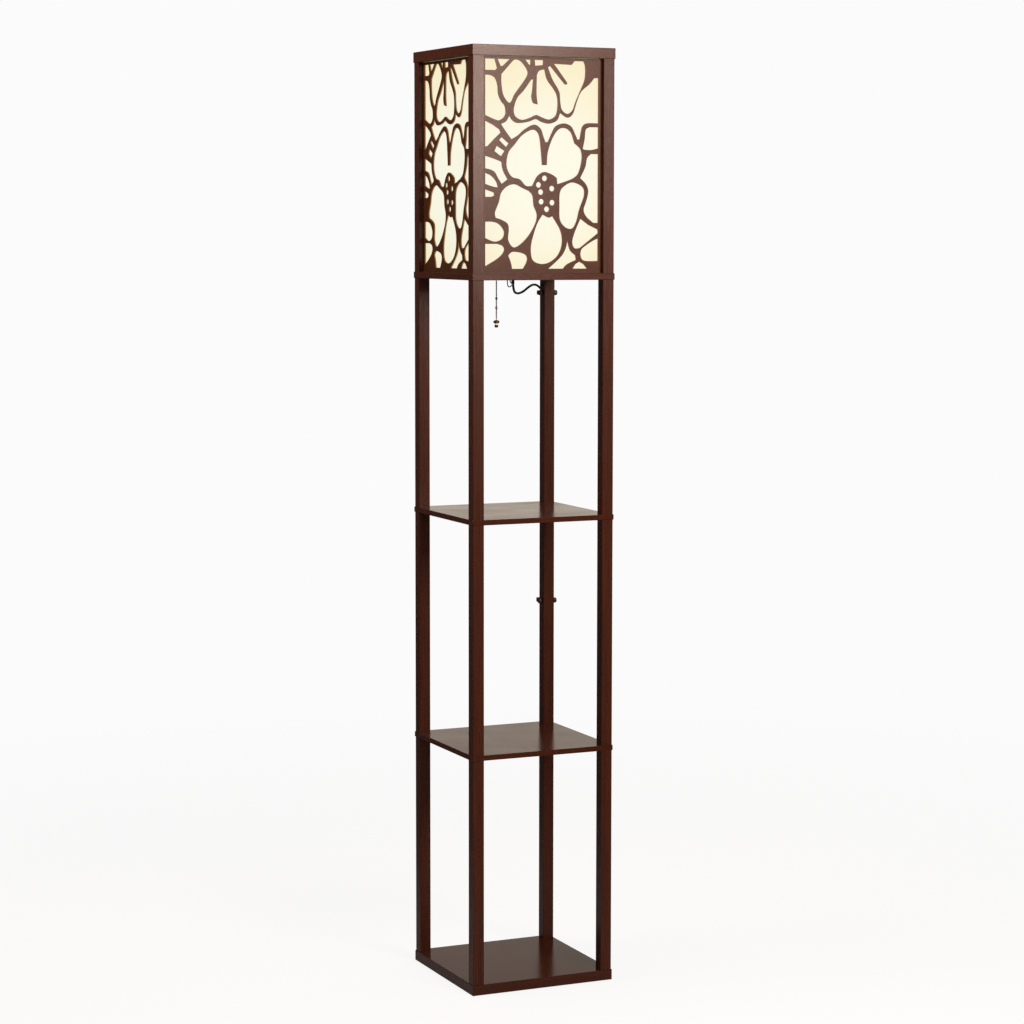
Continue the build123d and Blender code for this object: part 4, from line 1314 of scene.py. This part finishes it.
@dataclass
class Fretwork:
    """Four cut panels in front of lit paper. Sizes are in millimetres, heights from the lamp floor.

    Args:
        materials: The lamp's materials.
        floor: The height of the lamp floor's top.
        face: How far a panel's outer face is from the middle.
        back: How far a panel's back is from that face.
        thickness: The panel's thickness.
        width: Its width.
        height: Its height.
        window: The openings' limits: half width, lowest and highest.
        soften: The rounding of every cut edge.
        soften: The rounding of every cut edge.
        dot_radius: The dots' radius.
        dots: The middle of each dot, from the middle of the panel's foot.
        straight: The openings with straight sides.
        curved: The openings with curved sides, as strokes that meet in corners.
    """

    materials: Materials
    floor: float = 1222.0
    face: float = 121.75
    back: float = 3.0
    thickness: float = 2.2
    width: float = 229.0
    height: float = 359.5
    window: Point = (103.75, 8.0, 355.0)
    soften: float = 0.6
    dot_radius: float = 4.7
    dots: tuple[Flat, ...] = (
        (4.5, 159), (-6.5, 148), (18, 142), (-2.5, 136), (-1.5, 120), (18.5, 118.5), (8.5, 107.5),
    )
    straight: tuple[tuple[Flat, ...], ...] = (
        ((-110, 360), (-88, 360), (-82, 340), (-85, 336.5), (-110, 336.5)),
        ((-83.5, 360), (-54, 360), (-72, 343.5), (-76, 343.5)),
        ((-34, 359), (-21.5, 359), (-21.5, 347), (-24.5, 347)),
        ((-14.5, 360), (1.5, 360), (1.5, 347), (-13, 345.5)),
        ((-110, 256), (-90, 246.5), (-78, 239), (-75.5, 234), (-87, 223.5), (-99, 211.5), (-110, 209)),
        ((-78.5, 221.5), (-74, 226.5), (-61, 216), (-66, 210)),
        ((-83, 212), (-68.5, 203.5), (-75, 194.5), (-87, 203)),
        ((-110, 142), (-88, 134.5), (-87, 130), (-92, 127.5), (-110, 127.5)),
        ((69, 19.5), (62, 15.5), (54, 4), (87, 4), (77, 15.5)),
    )
    curved: tuple[tuple[tuple[Flat, ...], ...], ...] = (
        (((-57, 349),), ((-50, 354.5), (-40, 352.5), (-30, 342), (-26.5, 332), (-33, 320), (-50, 298),
          (-56, 286), (-62, 284), (-71, 296), (-74.5, 315), (-74.5, 330))),
        (((-110, 328.5),), ((-95, 328), (-86, 323.5), (-81.5, 312), (-80, 297), (-75, 286), (-68, 277),
          (-67.5, 263), (-77, 254.5), (-88, 256), (-110, 265))),
        (((-18, 305), (-19.5, 294), (-16.5, 284), (-8.5, 281.5)), ((-10.5, 300), (-10, 330)),
         ((-6, 337), (4, 340)), ((9, 323), (20, 309), (27, 297), (28.5, 280), (25, 264), (13, 257), (0, 260),
          (-11, 264), (-22, 259.5), (-37, 255.5), (-49, 261), (-52, 273), (-46, 291), (-34, 304),
          (-20, 322.5)), ((-16.5, 322.5),)),
        (((54, 348.5),), ((60, 355.5),), ((76, 356),), ((79.5, 345), (78.5, 325), (70, 305), (62, 288),
          (56, 273), (46, 267), (36, 274), (33, 288), (31, 304), (19, 323), (10.5, 343)), ((14.5, 346),),
         ((42, 315.5),), ((46, 316.5), (45, 320)), ((21.5, 349.5),)),
        (((96, 327.5),), ((87, 317), (72, 304.5), (64, 288), (57, 268), (47, 260.5), (33, 268)),
         ((27, 255.5), (13, 250), (-1, 252.5), (-12, 257), (-25, 252.5), (-44, 250), (-54, 254),
          (-60, 262)), ((-66, 252.5), (-75, 248)), ((-68, 238), (-56, 223)), ((-44, 230), (-32, 240),
          (-15, 248), (-3, 241.5), (2, 229), (6, 219)), ((11, 220),), ((17, 233), (25, 246), (40, 251),
          (53, 246.5), (60, 235), (65, 224.5)), ((69.5, 225),), ((72, 238), (75, 247), (84, 252),
          (110, 252)), ((110, 328),)),
        (((88, 245.5),), ((80.5, 241), (78.5, 225), (75, 209)), ((79, 207.5),), ((92, 207.5), (110, 212)),
         ((110, 245.5),)),
        (((90, 200.5),), ((83, 193), (80, 179), (70.5, 160)), ((81, 150), (85.5, 138), (82, 122), (77, 107),
          (82, 95.5), (95, 85)), ((110, 85),), ((110, 200.5),)),
        (((8.5, 181),), ((10.5, 203), (19, 226), (30, 240.5), (42, 243), (53, 236), (60, 218)), ((71, 208),
          (73.5, 192), (68, 170), (59, 160.5), (43, 154), (28, 149.5)), ((27, 160),), ((17, 166), (3, 169.5),
          (-9, 162), (-18, 146)), ((-30, 146.5), (-41, 157), (-56, 161.5), (-65, 178), (-62, 200),
          (-50, 215), (-36, 230.5), (-17, 239.5), (-6, 231), (-2, 205), (0, 181))),
        (((-74, 89.5), (-63, 83), (-61, 72), (-62, 56), (-53, 44), (-40, 48.5), (-24, 64), (-12, 84),
          (-9.5, 99), (-15, 113), (-17.5, 130), (-24, 137.5)), ((-36, 142.5), (-50, 148.5), (-64, 145),
          (-75, 134), (-79, 119), (-86, 102), (-85, 93))),
        (((57, 152.5), (42, 147), (33, 136), (32, 112), (33, 90), (43, 77.5), (56, 75.5), (64, 88),
          (69, 107), (78, 131), (75, 145)),),
        (((-8, 85), (-15, 67), (-20.5, 45), (-18, 24), (-5, 16.5), (12, 18), (29, 30), (37, 50), (34, 72),
          (19, 96)), ((12, 93.5), (1, 98.5))),
        (((-90, 86), (-78, 81.5), (-69.5, 70), (-73, 58), (-88, 53.5), (-110, 62)), ((-110, 86),)),
        (((-82, 49.5),), ((-72, 46), (-69.5, 38), (-80, 26), (-110, 9)), ((-110, 49.5),)),
        (((-57, 18), (-62, 30)), ((-55, 36), (-40, 35), (-29, 30), (-28, 20), (-38, 3)), ((-54, 3),)),
        (((43, 40), (33, 26), (7, 4)), ((36, 4),), ((46, 15), (63, 22.5)), ((62, 30),), ((52, 39),
          (47, 55))),
        (((96, 55.5), (80, 46), (72.5, 39), (72, 28), (80, 21), (110, 21)), ((110, 61),)),
        (((86, 81.5),), ((103, 74),), ((104.5, 68),), ((70, 42.5),), ((60, 42.5), (56, 53), (60, 68),
          (71, 92))),
        (((-88, 190.5), (-74, 185.5)), ((-71.5, 172), (-63, 156.5)), ((-74, 149),), ((-80, 158),
          (-89, 170.5), (-110, 176)), ((-110, 197),)),
        (((-94, 163), (-84, 153), (-80.5, 143)), ((-92, 145), (-110, 151)), ((-110, 169),)),
    )

    def build(self) -> None:
        """Make the four panels and dress the papers behind them."""
        cuts = [self.trim(outline) for outline in self.straight]
        cuts += [self.trim(smooth_outline(strokes)) for strokes in self.curved]
        cuts += [circle(self.dot_radius, 28, middle) for middle in self.dots]
        half = self.width / 2
        rim = [(-half, 0.0), (half, 0.0), (half, self.height), (-half, self.height)]
        for side in Side:
            shape = Shape()
            shape.plate(
                [rim, *cuts], -self.back, self.thickness - self.back, self.face_of(side), soften=self.soften
            )
            word = side.name.lower()
            shape.done(
                f"fretwork_{word}", self.materials.fretwork, Body.FRAME, (f"fret_panel_{word}",),
                sharp=20,
            )
            dress([f"diffuser_{word}"], self.materials.paper)

    def face_of(self, side: Side) -> Matrix:
        """Where a panel's outer face stands.

        Args:
            side: The side of the lamp.

        Returns:
            The place of the face's plane, with its origin at the middle of the panel's foot.
        """
        angle = math.radians(side.value)
        along = Vector((math.cos(angle), math.sin(angle), 0))
        outward = Vector((math.sin(angle), -math.cos(angle), 0))
        place = Matrix((along, Vector((0, 0, 1)), outward)).transposed().to_4x4()
        place.translation = (outward * self.face + Vector((0, 0, self.floor))) * MM
        return place

    def trim(self, outline: Sequence[Flat]) -> list[Flat]:
        """Cut an outline off at the window.

        Args:
            outline: The outline's points.

        Returns:
            The points of what is inside.
        """
        half, low, high = self.window
        kept = list(outline)
        for axis, limit, side in ((0, -half, 1), (0, half, -1), (1, low, 1), (1, high, -1)):
            clipped = []
            for before, point in zip([kept[-1], *kept], kept):
                was_in = (before[axis] - limit) * side >= 0
                is_in = (point[axis] - limit) * side >= 0
                if was_in != is_in:
                    share = (limit - before[axis]) / (point[axis] - before[axis])
                    clipped.append(tuple(one + share * (two - one) for one, two in zip(before, point)))
                if is_in:
                    clipped.append(point)
            kept = clipped
        return kept


def smooth_outline(strokes: Sequence[Sequence[Flat]], steps: int = 5) -> list[Flat]:
    """The points of a closed outline made of strokes that meet in corners.

    Args:
        strokes: Each stroke runs on from the last one's end: a single point is a straight run, and
            several are a smooth curve through them. One stroke alone is a closed smooth curve.
        steps: How many points each span of a curve has.

    Returns:
        The outline's points.
    """
    closed = len(strokes) == 1
    outline: list[Flat] = []
    start = strokes[-1][-1]
    for stroke in strokes:
        if len(stroke) == 1:
            outline.append(stroke[0])
        else:
            knots = [Vector(point) for point in ((start, *stroke))]
            if closed:
                ahead, behind = knots[1], knots[-2]
            else:
                ahead, behind = 2 * knots[-1] - knots[-2], 2 * knots[0] - knots[1]
            chain = [behind, *knots, ahead]
            for one, two, three, four in zip(chain, chain[1:], chain[2:], chain[3:]):
                for step in range(1, steps + 1):
                    t = step / steps
                    place = 0.5 * (
                        2 * two + (three - one) * t + (2 * one - 5 * two + 4 * three - four) * t**2
                        + (3 * two - one - 3 * three + four) * t**3
                    )
                    outline.append(tuple(place))
        start = stroke[-1]
    return outline


@dataclass
class Woodwork:
    """The boards, the legs and the lamp posts, which are the CAD nodes in lacquered wood.

    Args:
        materials: The lamp's materials.
        corners: Where the legs and the posts stand.
        levels: The legs' levels.
    """

    materials: Materials
    corners: tuple[str, ...] = ("front_left", "front_right", "back_left", "back_right")
    levels: tuple[str, ...] = ("lower", "middle", "upper")

    def build(self) -> None:
        """Dress every wooden node."""
        dress(("base_board", "lower_shelf", "upper_shelf"), self.materials.boards)
        dress(("lamp_floor", "top_frame"), self.materials.rails)
        for corner in self.corners:
            legs = [f"{level}_leg_{corner}" for level in self.levels]
            dress([*legs, f"lamp_post_{corner}"], self.materials.uprights)


# ---------------------------------------------------------------------------- metal fittings


@dataclass
class Fasteners:
    """The studs in the legs, and the cross-head screws under the base and in the top frame.

    Sizes are in millimetres.

    Args:
        materials: The lamp's materials.
        corner: How far a leg's middle is from the lamp's, along X and along Y.
        head_radius: A head's radius.
        head_height: Its height.
        cross_depth: The depth of the cross in it.
        cross_arm: Half the width of the cross's arms.
        cross_reach: How far they reach from its middle.
        shank_radius: A shank's radius over its thread.
        pitch: The thread's pitch.
        thread_depth: The thread's depth.
        ring_step: How far apart the rings of a shank's mesh are, at least.
    """

    materials: Materials
    corner: float = 119.75
    head_radius: float = 4.45
    head_height: float = 3.0
    cross_depth: float = 1.6
    cross_arm: float = 0.55
    cross_reach: float = 2.3
    shank_radius: float = 2.9
    pitch: float = 1.4
    thread_depth: float = 0.4
    ring_step: float = 0.35

    def build(self) -> None:
        """Make the screws and dress the studs."""
        dress(("lower_shelf_studs", "upper_shelf_studs", "lamp_floor_studs"), self.materials.steel)
        foot, top = heights("base_screws")
        self.screws("base_cross_screws", foot, top, -1, "base_screws")
        foot, top = heights("top_screws")
        self.screws("top_cross_screws", top, foot, 1, "top_screws")

    def screws(self, name: str, head_face: float, tip: float, side: int, node: str) -> None:
        """Four screws with pan heads.

        Args:
            name: The piece's name.
            head_face: The height of the heads' outer face, in millimetres.
            tip: The height of the screws' ends.
            side: 1 where the heads face up, and -1 where they face down.
            node: The CAD node that they stand for.
        """
        shape = Shape()
        arm, reach = self.cross_arm, self.cross_reach
        cross = [
            (arm, arm), (arm, reach), (-arm, reach), (-arm, arm), (-reach, arm), (-reach, -arm),
            (-arm, -arm), (-arm, -reach), (arm, -reach), (arm, -arm), (reach, -arm), (reach, arm),
        ]
        disc = circle(self.head_radius, 32)
        floor = head_face - side * self.cross_depth
        under = head_face - side * self.head_height
        length = abs(tip - under)
        rings = int(length / self.ring_step)
        edge = self.head_radius - 0.1
        profile = [(0.0, floor), (edge, floor), (edge, under), (self.shank_radius, under)]
        profile += [(self.shank_radius, under - side * length * ring / rings) for ring in range(1, rings)]
        profile += [(self.shank_radius - 0.6, tip), (0.0, tip)]
        low, high = sorted((under - side * 2, tip + side * 0.5))
        for x_side in (-1, 1):
            for y_side in (-1, 1):
                x, y = self.corner * x_side, self.corner * y_side
                place = Matrix.Translation(metres((x, y, 0)))
                shape.plate([disc, cross], min(head_face, floor), max(head_face, floor), place, soften=0.25)
                turned = shape.lathe(profile, at=(x, y, 0), segments=20)
                shape.thread(turned, low, high, self.pitch, self.thread_depth, (x, y))
        shape.done(name, self.materials.steel, Body.FRAME, (node,))


@dataclass
class LampHolder:
    """The threaded riser with its nuts, and the holder with its sleeve and contact.

    Sizes are in millimetres.

    Args:
        materials: The lamp's materials.
        riser_radius: The riser's radius over its thread.
        riser_bore: The radius of its bore.
        nut_height: The height of its nuts.
        shell_radius: The holder's radius above its waist.
        grip_ribs: How many ribs it has for the grip.
        sleeve_radii: The thread sleeve's inner and outer radius.
        sleeve_pitch: The pitch of its thread.
    """

    materials: Materials
    riser_radius: float = 4.98
    riser_bore: float = 2.2
    nut_height: float = 4.0
    shell_radius: float = 18.6
    grip_ribs: int = 28
    sleeve_radii: Flat = (13.7, 13.95)
    sleeve_pitch: float = 3.6

    def build(self) -> None:
        """Make every piece of the holder."""
        self.build_riser()
        self.build_nuts()
        self.build_shell()
        self.build_sleeve()
        self.build_contact()

    def build_riser(self) -> None:
        """A threaded tube, open at its lower end for the lead."""
        foot, top = heights("riser_tube")
        bore = self.riser_bore
        count = int((top - foot) / RING_STEP)
        profile = [(bore, foot + 2), (bore, foot), (4.6, foot)]
        profile += [(self.riser_radius, foot + RING_STEP * ring) for ring in range(2, count - 1)]
        profile += [(4.6, top), (bore, top), (bore, foot + 2)]
        shape = Shape()
        turned = shape.lathe(profile, segments=28)
        shape.thread(turned, foot + 0.4, top - 0.4, 1.0, 0.4, beyond=4.9)
        shape.done("threaded_riser", self.materials.zinc, Body.FRAME, ("riser_tube",))

    def build_nuts(self) -> None:
        """Two hexagon nuts with rounded rims."""
        foot, top = heights("riser_nuts")
        shape = Shape()
        for start in (foot, top - self.nut_height):
            hexagon_nut(shape, (0, 0), start, self.nut_height)
        shape.done("riser_lock_nuts", self.materials.zinc, Body.FRAME, ("riser_nuts",))

    def build_shell(self) -> None:
        """The moulded holder, with a rounded foot, a waist ring and ribs for the grip."""
        foot, top = heights("holder_shell")
        wide = self.shell_radius
        profile = [
            (5.1, foot), (10.5, foot), (13.6, foot + 1.2), (17.2, foot + 5), (18.2, foot + 8),
            (18.2, foot + 13.5), (17.4, foot + 14), (17.4, foot + 15.5), (18.2, foot + 16),
            (wide, foot + 30), (wide, top - 5), (19.0, top - 4.4), (19.0, top - 0.8), (18.3, top),
            (14.9, top), (14.2, top - 0.7), (14.1, foot + 12.2), (0.0, foot + 12.2), (0.0, foot + 8.2),
            (5.1, foot + 8.2), (5.1, foot),
        ]
        shape = Shape()
        shape.lathe(profile, segments=56)
        for rib in range(self.grip_ribs):
            before = set(shape.mesh.verts)
            shape.block((17.9, -0.5, foot + 18), (18.9, 0.5, top - 7), 0.3, 2)
            turn = Matrix.Rotation(rib * TURN / self.grip_ribs, 4, "Z")
            bmesh.ops.transform(shape.mesh, matrix=turn, verts=shape.made_since(before))
        shape.done("holder_moulding", self.materials.plastic, Body.FRAME, ("holder_shell",))

    def build_sleeve(self) -> None:
        """The thin rolled-thread sleeve that the bulb screws into."""
        foot, top = heights("holder_sleeve")
        inner, outer = self.sleeve_radii
        rings = 40
        rises = [foot + (top - foot) * ring / rings for ring in range(rings + 1)]
        profile = [(outer, rise) for rise in rises] + [(inner, rise) for rise in reversed(rises)]
        shape = Shape()
        turned = shape.lathe([*profile, profile[0]], segments=40)
        shape.thread(turned, foot + 3, top - 1, self.sleeve_pitch, 0.35)
        shape.done("holder_thread", self.materials.brass, Body.FRAME, ("holder_sleeve",))

    def build_contact(self) -> None:
        """The springy middle contact, with a raised tongue and a rivet."""
        foot, top = heights("holder_contact")
        shape = Shape()
        shape.block((-9, -3.5, foot), (9, 3.5, foot + 0.6), 0.25, 2)
        shape.block((-5.5, -2.4, foot + 0.5), (4.5, 2.4, top - 0.1), 0.4, 3)
        rivet = [(0, foot + 0.5), (1.6, foot + 0.5), (1.5, foot + 1.1), (0.8, foot + 1.4), (0, foot + 1.45)]
        shape.lathe(rivet, at=(-7, 0, 0), segments=20)
        shape.done("holder_tongue", self.materials.brass, Body.FRAME, ("holder_contact",))


def hexagon_nut(
    shape: Shape, centre: Flat, foot: float, height: float, corner: float = 8.95, bore: float = 5.06
) -> None:
    """Add a hexagon nut, in millimetres.

    Args:
        shape: The shape that it is added to.
        centre: Where its middle stands.
        foot: The height of its foot.
        height: Its own height.
        corner: How far its corners are from its middle.
        bore: The radius of its bore.
    """
    place = Matrix.Translation(metres((*centre, 0)))
    shape.plate([circle(corner, 6), circle(bore, 28)], foot, foot + height, place, soften=0.5, steps=3)


@dataclass
class Bulb:
    """The lit globe bulb, its screw cap and its contact, which turn and rise together.

    Sizes are in millimetres.

    Args:
        materials: The lamp's materials.
        globe_radius: The globe's radius.
        globe_start: The angle at which the globe starts above the neck, in degrees.
        cap_radius: The cap's radius over its thread.
        pitch: The cap's pitch.
        thread_depth: The depth of its thread.
    """

    materials: Materials
    globe_radius: float = 30.0
    globe_start: float = -50.0
    cap_radius: float = 13.1
    pitch: float = 3.63
    thread_depth: float = 0.8

    def build(self) -> None:
        """Make the bulb's three pieces."""
        self.build_globe()
        self.build_cap()
        self.build_contact()

    def build_globe(self) -> None:
        """The glass, with a neck that widens into the globe."""
        foot, top = heights("bulb_globe")
        radius, steps = self.globe_radius, 22
        profile = [
            (0.0, foot + 0.2), (12.6, foot + 0.2), (12.9, foot + 2.5), (13.4, foot + 8), (14.8, foot + 15)
        ]
        for step in range(steps):
            angle = math.radians(self.globe_start + step * (90 - self.globe_start) / steps)
            profile.append((radius * math.cos(angle), top - radius + radius * math.sin(angle)))
        profile.append((0.0, top))
        shape = Shape()
        shape.lathe(profile, segments=64)
        shape.done("bulb_glass", self.materials.glass, Body.BULB, ("bulb_globe",), sharp=50)

    def build_cap(self) -> None:
        """The screw cap, with a rolled thread and a stepped foot."""
        foot, top = heights("bulb_screw_cap")
        rings = 44
        start = foot + 5.2
        profile = [(0.0, foot), (5.6, foot), (7.0, foot + 0.8), (10.6, foot + 4.4), (12.0, foot + 5.0)]
        profile += [
            (self.cap_radius, start + (top - start) * ring / rings) for ring in range(1, rings + 1)
        ]
        profile.append((0.0, top))
        shape = Shape()
        turned = shape.lathe(profile, segments=48)
        shape.thread(turned, start, top - 3.5, self.pitch, self.thread_depth, beyond=13.0)
        shape.done("bulb_cap", self.materials.aluminium, Body.BULB, ("bulb_screw_cap",))

    def build_contact(self) -> None:
        """The solder dot that meets the holder's tongue."""
        foot, top = heights("bulb_contact")
        shape = Shape()
        shape.lathe(
            [(0, foot), (1.6, foot + 0.1), (3.2, foot + 0.5), (4.4, foot + 1.1), (4.45, top), (0, top)],
            segments=32,
        )
        shape.done("bulb_solder", self.materials.zinc, Body.BULB_SEAT, ("bulb_contact",))


@dataclass
class PullSwitch:
    """The switch on the lamp floor and the chain that hangs from it through the floor.

    Sizes are in millimetres.

    Args:
        materials: The lamp's materials.
        place: Where the switch stands.
        case_half: Half the case's width and half its depth.
        seam_inset: How far the seam between its halves lies in.
        nose_radius: The nose's radius over its thread.
        nose_bore: The radius of its bore.
        bead_radius: The radius of the chain's beads.
        bead_pitch: How far apart they are.
        couplings: Where the chain's couplings start, as shares of its length.
    """

    materials: Materials
    place: Flat = (-37.0, -14.0)
    case_half: Flat = (9.0, 15.0)
    seam_inset: float = 0.4
    nose_radius: float = 4.98
    nose_bore: float = 3.1
    bead_radius: float = 1.3
    bead_pitch: float = 2.9
    couplings: Flat = (0.28, 0.52)

    def build(self) -> None:
        """Make the switch, its plunger, the chain and the pull."""
        self.build_body()
        self.build_nose()
        self.build_plunger()
        self.build_chain()
        self.build_pull()

    def build_body(self) -> None:
        """The switch's moulded case, in two halves with a seam between them."""
        foot, top = heights("switch_body")
        x, y = self.place
        shape = Shape()
        for low, high, inset, soften, steps in (
            (foot, foot + 8.4, 0.0, 1.2, 4),
            (foot + 8.0, foot + 9.0, self.seam_inset, 0.2, 1),
            (foot + 8.7, top, 0.0, 1.2, 4),
        ):
            wide, deep = (half - inset for half in self.case_half)
            shape.block((x - wide, y - deep, low), (x + wide, y + deep, high), soften, steps)
        shape.done("switch_case", self.materials.plastic, Body.FRAME, ("switch_body",))

    def build_nose(self) -> None:
        """The switch's threaded nose, and the nut on it."""
        foot, top = heights("switch_nose")
        bore, radius = self.nose_bore, self.nose_radius
        count = int((top - foot) / RING_STEP)
        profile = [(bore, foot), (4.6, foot)]
        profile += [(radius, foot + RING_STEP * ring) for ring in range(2, count)]
        profile += [(radius, top), (bore, top), (bore, foot)]
        shape = Shape()
        turned = shape.lathe(profile, at=(*self.place, 0), segments=28)
        shape.thread(turned, foot + 0.4, top - 0.4, 1.0, 0.4, self.place, beyond=4.9)
        shape.done("switch_threaded_nose", self.materials.zinc, Body.FRAME, ("switch_nose",))
        foot, top = heights("switch_nut")
        nut = Shape()
        hexagon_nut(nut, self.place, foot, top - foot)
        nut.done("switch_lock_nut", self.materials.zinc, Body.FRAME, ("switch_nut",))

    def build_plunger(self) -> None:
        """The plunger, with a cup at its foot that holds the chain's top bead."""
        foot, top = heights("switch_plunger")
        profile = [
            (1.5, foot), (2.2, foot), (2.45, foot + 0.5), (2.45, top - 3.5), (4.0, top - 3.5),
            (4.0, top - 0.4), (3.6, top), (0.0, top), (0.0, foot + 2.0), (1.1, foot + 1.8),
            (1.5, foot + 1.2), (1.5, foot),
        ]
        shape = Shape()
        shape.lathe(profile, at=(*self.place, 0), segments=32)
        shape.done("switch_slider", self.materials.brass, Body.PLUNGER, ("switch_plunger",))

    def build_chain(self) -> None:
        """A ball chain with two joining couplings."""
        foot, top = heights("chain_top_bead")
        x, y = self.place
        bead = Shape()
        bead.ball((x, y, (foot + top) / 2), self.bead_radius, 0.9)
        bead.done("chain_end_bead", self.materials.chain, Body.CHAIN_BEAD, ("chain_top_bead",))
        foot, top = heights("pull_chain")
        chain = Shape()
        chain.lathe([(0, foot), (0.6, foot), (0.6, top), (0, top)], at=(x, y, 0), segments=12)
        for index in range(int((top - foot) / self.bead_pitch)):
            chain.ball((x, y, top - self.bead_radius - index * self.bead_pitch), self.bead_radius, 0.96)
        for share in self.couplings:
            start = foot + share * (top - foot)
            coupling = [
                (0.5, start), (1.3, start + 0.1), (1.85, start + 0.9), (1.9, start + 3.4),
                (1.4, start + 4.3), (0.5, start + 4.5),
            ]
            chain.lathe(coupling, at=(x, y, 0), segments=24)
        chain.done("ball_chain", self.materials.chain, Body.CHAIN, ("pull_chain",), sharp=60)

    def build_pull(self) -> None:
        """The pull: a domed bronze cap, a pale neck and a dark tip."""
        foot, top = heights("chain_pull")
        at = (*self.place, 0)
        cap = Shape()
        cap.lathe(
            [(0, top), (1.2, top), (1.6, top - 0.3), (2.6, top - 0.6), (4.3, top - 1.2), (5.15, top - 2.3),
             (5.3, top - 3.6), (5.05, top - 4.7), (4.4, top - 5.3), (3.2, top - 5.5), (0, top - 5.5)],
            at=at, segments=40,
        )
        cap.lathe(
            [(0, foot + 4.6), (2.4, foot + 4.6), (3.2, foot + 3.9), (3.45, foot + 2.7), (3.1, foot + 1.1),
             (2.0, foot + 0.2), (0, foot)],
            at=at, segments=40,
        )
        cap.done("pull_cap", self.materials.bronze, Body.CHAIN, ("chain_pull",), sharp=60)
        neck = Shape()
        neck.lathe(
            [(0, foot + 4.4), (2.2, foot + 4.4), (2.6, foot + 5.2), (2.55, foot + 6.4), (2.2, foot + 7.6),
             (0, foot + 7.7)],
            at=at, segments=32,
        )
        neck.done("pull_neck", self.materials.cream, Body.CHAIN, sharp=60)


@dataclass
class CordClips:
    """The two spring clips that hold the lead behind the back right leg, in millimetres.

    Args:
        materials: The lamp's materials.
        post: Where the leg's middle stands.
        post_side: The leg's width.
        band: The thickness of the clips' band.
        pocket: How far the band reaches behind the leg, to the lead.
        corner: The inner radius of its corners.
        roll_radius: How far a lip bulges from its middle.
        roll_reach: How far back the lips stand.
        taper: How much lower the band is behind the lead than beside the leg.
    """

    materials: Materials
    post: Flat = (119.75, 119.75)
    post_side: float = 20.0
    band: float = 2.0
    pocket: float = 10.0
    corner: float = 2.5
    roll_radius: float = 4.2
    roll_reach: float = 117.5
    taper: float = 0.3

    def build(self) -> None:
        """Make both clips."""
        half = self.post_side / 2
        place = Matrix.Translation(metres((*self.post, 0)))
        band = self.u_band(half, half + self.pocket)
        for node in ("cord_clip_upper", "cord_clip_lower"):
            foot, top = heights(node)
            shape = Shape()
            shape.plate([band], foot, top, place, soften=0.6, steps=3)
            middle = (foot + top) / 2 * MM
            for vert in shape.mesh.verts:
                beyond = min(max((vert.co.y / MM - self.post[1] - half) / self.pocket, 0.0), 1.0)
                vert.co.z = middle + (vert.co.z - middle) * (1 - self.taper * beyond)
            for side in (-1, 1):
                self.roll(shape, side * (half + self.roll_radius), foot, top)
            shape.done(f"{node}_band", self.materials.clip, Body.FRAME, (node,))

    def u_band(self, half: float, back: float) -> list[Flat]:
        """The outline of the band round the back of the leg, with rounded corners.

        Args:
            half: How far the band's inner face is from its middle.
            back: How far that face is from the leg's middle, behind it.

        Returns:
            The outline's points.
        """
        inner, outer = (
            [
                (
                    side * (half - self.corner) + radius * math.cos(math.radians(first + step * 15)),
                    back - self.corner + radius * math.sin(math.radians(first + step * 15)),
                )
                for side, first in ((1, 0), (-1, 90))
                for step in range(7)
            ]
            for radius in (self.corner, self.corner + self.band)
        )
        reach = half + self.band
        return [(reach, 0), *outer, (-reach, 0), (-half, 0), *reversed(inner), (half, 0)]

    def roll(self, shape: Shape, x: float, low: float, high: float) -> None:
        """A full, rounded lip at the end of the band.

        Args:
            shape: The shape that it is added to.
            x: How far its middle is from the leg's middle.
            low: The height of its foot.
            high: The height of its top.
        """
        middle, half, bulge = (low + high) / 2, (high - low) / 2, self.roll_radius
        steps = 12
        profile = [(0.0, low)]
        for step in range(1, steps):
            angle = math.radians(-90 + step * 180 / steps)
            profile.append((bulge * math.cos(angle) ** 0.6, middle + half * math.sin(angle)))
        profile.append((0.0, high))
        shape.lathe(profile, at=(self.post[0] + x, self.roll_reach, 0), segments=28)


# ---------------------------------------------------------------------------- the whole lamp


def main() -> None:
    """Build the camera and the cords first, then the rest of the lamp."""
    logging.basicConfig(level=logging.INFO, format="%(name)s: %(message)s")
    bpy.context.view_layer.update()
    CameraView().build()
    materials = Materials()
    Cords(materials, Hank()).build()
    Studio().build()
    Woodwork(materials).build()
    Fretwork(materials).build()
    Fasteners(materials).build()
    LampHolder(materials).build()
    Bulb(materials).build()
    PullSwitch(materials).build()
    CordClips(materials).build()


if __name__ == "__main__":
    main()
